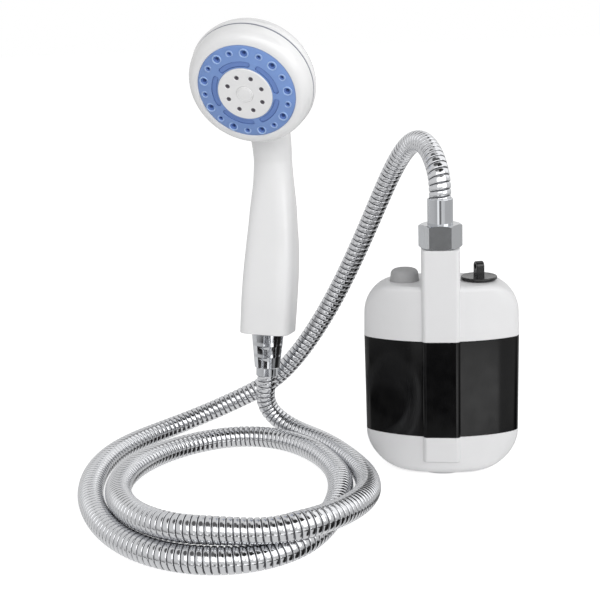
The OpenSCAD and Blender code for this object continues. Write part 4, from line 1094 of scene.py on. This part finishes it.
def dish_outline(r, size):
    """Dished inside of a nozzle's lip. Plain numbers are shares of its radius, and depths at full size."""
    inner, outer = PUPIL_R * r, DISH_R * r
    return [
        (inner, -DISH_ROOT), (outer, -DISH_ROOT), (outer, DISH_TOP), (0.7 * r, DISH_TOP),
        (0.6 * r, -0.28 * size), (0.47 * r, -0.5 * size), (inner, -0.62 * size),
    ]


def pupil_outline(r, size):
    """Deep middle of a nozzle. Plain numbers are shares of its radius, and depths at full size."""
    inner, outer = NOZZLE_BORE_R * r, PUPIL_R * r
    return [
        (inner, -PUPIL_ROOT), (outer, -PUPIL_ROOT), (outer, -0.75 * size), (0.3 * r, -0.95 * size),
        (0.2 * r, -PUPIL_FLOOR), (inner, -PUPIL_FLOOR - PUPIL_DROP),
    ]


def centre_disc():
    """White disc in the middle of the face, with the seat of its cap and the flared holes of the jets."""
    r = DISC_D / 2 - DISC_PLAY
    bore = PIVOT_D / 2 + RUN_FIT
    cap = CAP_D / 2 + CAP_FIT
    back, seat = DISC_FWD - DISC_T, DISC_FWD - CAP_SEAT
    bm = turned(
        [(bore, back), (r, back), *quarter_round(r, DISC_FWD, DISC_EDGE, DISC_EDGE),
         (cap + CAP_CHAMFER, DISC_FWD), (cap, DISC_FWD - CAP_CHAMFER), (cap, seat), (bore, seat)],
        closed=True, steps=FACE_STEPS,
    )
    jet, flare = JET_D / 2, JET_D / 2 + JET_FLARE
    past = DISC_FWD + OVERCUT
    holes = []
    for at in jet_places():
        hole = turned(
            [(0, -OVERCUT), (jet, -OVERCUT), (jet, DISC_FWD - FLARE_LOW), (flare, DISC_FWD + FLARE_HIGH),
             (flare, past), (0, past)],
            steps=JET_STEPS,
        )
        holes.append(moved(hole, at))
    bm = boolean("DIFFERENCE", bm, together(*holes))
    return placed(bm, spray_face)


def jet_places():
    """Places of the jets round the centre disc."""
    for i in range(JETS):
        turn = FULL_TURN * (i + JET_TURN) / JETS
        yield JET_CIRCLE_R * math.cos(turn), JET_CIRCLE_R * math.sin(turn), 0


def jet_tips():
    """Rubber tips in the holes of the centre disc, each with its own small bore, dark grey as painted shade
    of the holes.
    """
    r = JET_D / 2 - TIP_PLAY
    low, top = DISC_FWD - TIP_LOW, DISC_FWD - TIP_TOP
    floor_z = top - TIP_BORE_L
    tips = []
    for at in jet_places():
        tip = turned(
            [(0, low), (r, low), (r, top), (r - TIP_EDGE, top + TIP_DISH), (TIP_MOUTH_R, top - TIP_DISH),
             (TIP_BORE_R, floor_z), (0, floor_z)],
            steps=JET_STEPS,
        )
        tips.append(moved(tip, at))
    bm = together(*tips)
    return placed(bm, spray_face)


def centre_cap():
    """Nearly flat cap with a fine ring line."""
    r = CAP_D / 2
    seat, top = DISC_FWD - CAP_SEAT, DISC_FWD + CAP_PROUD
    line_out, line_in = LINE_R + LINE_W / 2, LINE_R - LINE_W / 2
    outside, inside, further, middle = CAP_CROWN
    bm = turned(
        [(0, seat), (r, seat), (r, top - CAP_EDGE), (r - CAP_EDGE, top), (line_out, top + outside),
         (LINE_R, top + outside - LINE_DEPTH), (line_in, top + inside), (CAP_FLAT_R, top + further),
         (0, top + middle)]
    )
    return placed(bm, spray_face)


piece("handset_moulding", handset_body(), gloss_abs, ROOT, ("handset_body",))
piece("turning_bezel", bezel(), gloss_abs, FACE, ("bezel_ring",))
piece("blue_spray_ring", spray_ring(), blue_abs, FACE, ("spray_ring",))
piece("mist_arc_pads", arc_pads(), pad_abs, FACE)
piece("large_nozzle_lips", nozzle_rings(lip_outline, small=False), lip_highlight_silicone, FACE)
piece("small_nozzle_lips", nozzle_rings(lip_outline, large=False), small_lip_highlight_silicone, FACE)
piece("nozzle_dishes", nozzle_rings(dish_outline), dish_shade_silicone, FACE)
piece("nozzle_pupils", nozzle_rings(pupil_outline), pupil_shade_silicone, FACE)
piece("jet_tips", jet_tips(), tip_shade_silicone, FACE)
piece("white_centre_disc", centre_disc(), gloss_abs, FACE, ("centre_disc",))
piece("centre_button_cap", centre_cap(), gloss_abs, FACE, ("centre_cap",))


# Finishes of the solids that stay as they are

finishes = {
    "inlet_strainer": dark_nylon, "inner_frame": dark_nylon, "pump_chamber": dark_nylon,
    "tact_switch": dark_nylon, "charge_socket": dark_nylon, "impeller": brass, "motor_can": zinc_steel,
    "pivot_screw": zinc_steel, "battery_cells": cell_wrap, "riser_tube": clear_tube,
    "circuit_board": solder_mask, "outlet_spigot": chrome, "hose_washer": washer_rubber,
    "cone_washer": washer_rubber, "inlet_spigot": acetal, "water_divider": acetal, "seam_ring": seam_abs,
}
for name, material in finishes.items():
    mesh = nodes[name].data
    mesh.materials.clear()
    mesh.materials.append(material)


# Floor, studio and light

WHITE, PAPER = (1, 1, 1, 1), "#F2F2F2"
FLOOR_SIZE, FLOOR_GLOW, WORLD_LEVEL = 60, 0.68, 0.45
# Brightness of the walls and of the table top in mirrors
WALL_LEVEL, TABLE_LEVEL = 0.88, 0.9
# Panels in mirrors: direction, cosine of the angle to the outer and the inner edge, brightness. The fourth
# is a bright window at the side, and the others are dark. The last lies below the horizon, over the strips.
PANELS = [
    ((-0.26, -0.25, 0.933), 0.92, 0.96, 0.14),
    ((0.4, -0.4, 0.825), 0.9, 0.94, 0.03),
    ((0.2, 0.6, 0.775), 0.955, 0.975, 0.05),
    ((0.62, 0.45, 0.643), 0.83, 0.88, 1.4),
    ((0.76, 0.12, -0.639), 0.88, 0.93, 0.02),
]
# Strips below the horizon in mirrors: angle from the front in degrees, to the right, and brightness
WALL_FOOT = [
    (-180, 0.82), (-60, 0.7), (-27, 0.6), (-24, 1.4), (-9, 1.4), (-6, 0.26), (9, 0.26), (12, 0.95),
    (40, 0.85), (46, 0.66),
]
SKIRTING = [
    (-180, 0.7), (-84, 1), (-80, 0.02), (8, 0.02), (10, 2.3), (50, 2.3), (52, 0.8), (130, 0.8), (134, 0.7),
]
TABLE_EDGE = [(-180, 0.85), (32, 0.85), (36, 0.03), (72, 0.05), (80, 0.15), (168, 0.15), (174, 0.85)]
# Each strip begins where the height of a direction of length one goes from the first value to the second
STRIPS = [((-0.06, -0.1), WALL_FOOT), ((-0.268, -0.284), SKIRTING), ((-0.352, -0.362), TABLE_EDGE)]
TABLE_RIM = (-0.49, -0.52)


def largest(tree, *values):
    """The largest of several values."""
    most = values[0]
    for value in values[1:]:
        most = add(tree, "ShaderNodeMath", {0: most, 1: value}, operation="MAXIMUM").outputs[0]
    return most


def ramp(tree, value, low, high, start, end, kind="SMOOTHSTEP"):
    """A change from start to end while a value goes from low to high."""
    limits = {"Value": value, "From Min": low, "From Max": high, "To Min": start, "To Max": end}
    return add(tree, "ShaderNodeMapRange", limits, interpolation_type=kind).outputs["Result"]


def around(tree, turn, stops):
    """Brightness by the angle round the object, from stops of (degrees, brightness)."""
    share = ramp(tree, turn, -math.pi, math.pi, 0, 1, "LINEAR")
    node = add(tree, "ShaderNodeValToRGB", {"Fac": share})
    row = node.color_ramp.elements
    while len(row) < len(stops):
        row.new(1)
    for element, (degrees, level) in zip(row, stops):
        element.position = (degrees + 180) / 360
        element.color = (level, level, level, 1)
    return node.outputs["Color"]


def mirrored_studio(tree):
    """Brightness of the studio in mirrors: pale walls above strips that change by the angle, and panels."""
    way = add(tree, "ShaderNodeTexCoord").outputs["Generated"]
    x, y, z = add(tree, "ShaderNodeSeparateXYZ", {"Vector": way}).outputs
    front = add(tree, "ShaderNodeMath", {0: y, 1: -1}, operation="MULTIPLY").outputs[0]
    turn = add(tree, "ShaderNodeMath", {0: x, 1: front}, operation="ARCTAN2").outputs[0]
    layers = [(ramp(tree, z, *edge, 0, 1), around(tree, turn, stops)) for edge, stops in STRIPS]
    layers.append((ramp(tree, z, *TABLE_RIM, 0, 1), TABLE_LEVEL))
    for place, outer, inner, brightness in PANELS:
        near = add(tree, "ShaderNodeVectorMath", {0: way, 1: place}, operation="DOT_PRODUCT").outputs["Value"]
        layers.append((ramp(tree, near, outer, inner, 0, 1), brightness))
    level = WALL_LEVEL
    for share, other in layers:
        blend = {"Factor": share, "A": level, "B": other}
        level = add(tree, "ShaderNodeMix", blend, data_type="FLOAT").outputs[0]
    return level


def studio():
    """World light: white to the camera, dimmer as fill light, and the mirrored studio in mirrors."""
    world = bpy.data.worlds.new("studio")
    world.use_nodes = True
    tree = world.node_tree
    tree.nodes.clear()
    path = add(tree, "ShaderNodeLightPath").outputs
    seen = largest(tree, path["Is Camera Ray"], path["Is Transmission Ray"])
    dim, white, mirrored = [
        add(tree, "ShaderNodeBackground", {"Color": WHITE, "Strength": strength}).outputs[0]
        for strength in (WORLD_LEVEL, 1, mirrored_studio(tree))
    ]
    unseen = add(tree, "ShaderNodeMixShader", {0: path["Is Glossy Ray"], 1: dim, 2: mirrored}).outputs[0]
    shown = add(tree, "ShaderNodeMixShader", {0: seen, 1: unseen, 2: white}).outputs[0]
    add(tree, "ShaderNodeOutputWorld", {"Surface": shown})
    scene.world = world


def floor():
    """White paper that shows the object's shadow. In mirrors the studio's own light takes its place."""
    material = bpy.data.materials.new("white_paper_floor")
    material.use_nodes = True
    tree = material.node_tree
    tree.nodes.clear()
    path = add(tree, "ShaderNodeLightPath").outputs
    seen = largest(tree, path["Is Camera Ray"], path["Is Glossy Ray"], path["Is Transmission Ray"])
    paper = add(tree, "ShaderNodeBsdfDiffuse", {"Color": srgb(PAPER)}).outputs[0]
    glow = add(tree, "ShaderNodeEmission", {"Color": WHITE, "Strength": FLOOR_GLOW}).outputs[0]
    lifted = add(tree, "ShaderNodeAddShader", {0: paper, 1: glow}).outputs[0]
    shown = add(tree, "ShaderNodeMixShader", {0: seen, 1: paper, 2: lifted}).outputs[0]
    add(tree, "ShaderNodeOutputMaterial", {"Surface": shown})
    bm = bmesh.new()
    bmesh.ops.create_grid(bm, x_segments=1, y_segments=1, size=FLOOR_SIZE / 2)
    mesh = bpy.data.meshes.new("floor")
    bm.to_mesh(mesh)
    bm.free()
    mesh.materials.append(material)
    obj = bpy.data.objects.new("floor", mesh)
    obj.visible_glossy = False
    scene.collection.objects.link(obj)


def softbox(name, at, aim, width, height, power):
    """A soft rectangular lamp in metres that looks at a point."""
    lamp = bpy.data.lights.new(name, "AREA")
    lamp.shape = "RECTANGLE"
    lamp.size, lamp.size_y = width, height
    lamp.energy = power
    obj = bpy.data.objects.new(name, lamp)
    obj.location = at
    obj.rotation_euler = (Vector(aim) - Vector(at)).to_track_quat("-Z", "Y").to_euler()
    scene.collection.objects.link(obj)


studio()
floor()
softbox("front_softbox", at=(-0.05, -1.7, 1.05), aim=(-0.08, 0, 0.1), width=1.6, height=1.1, power=10)
softbox("right_softbox", at=(1.07, -0.84, 0.73), aim=(-0.05, 0, 0.1), width=1.2, height=1.2, power=9)

scene.view_settings.view_transform = "Standard"
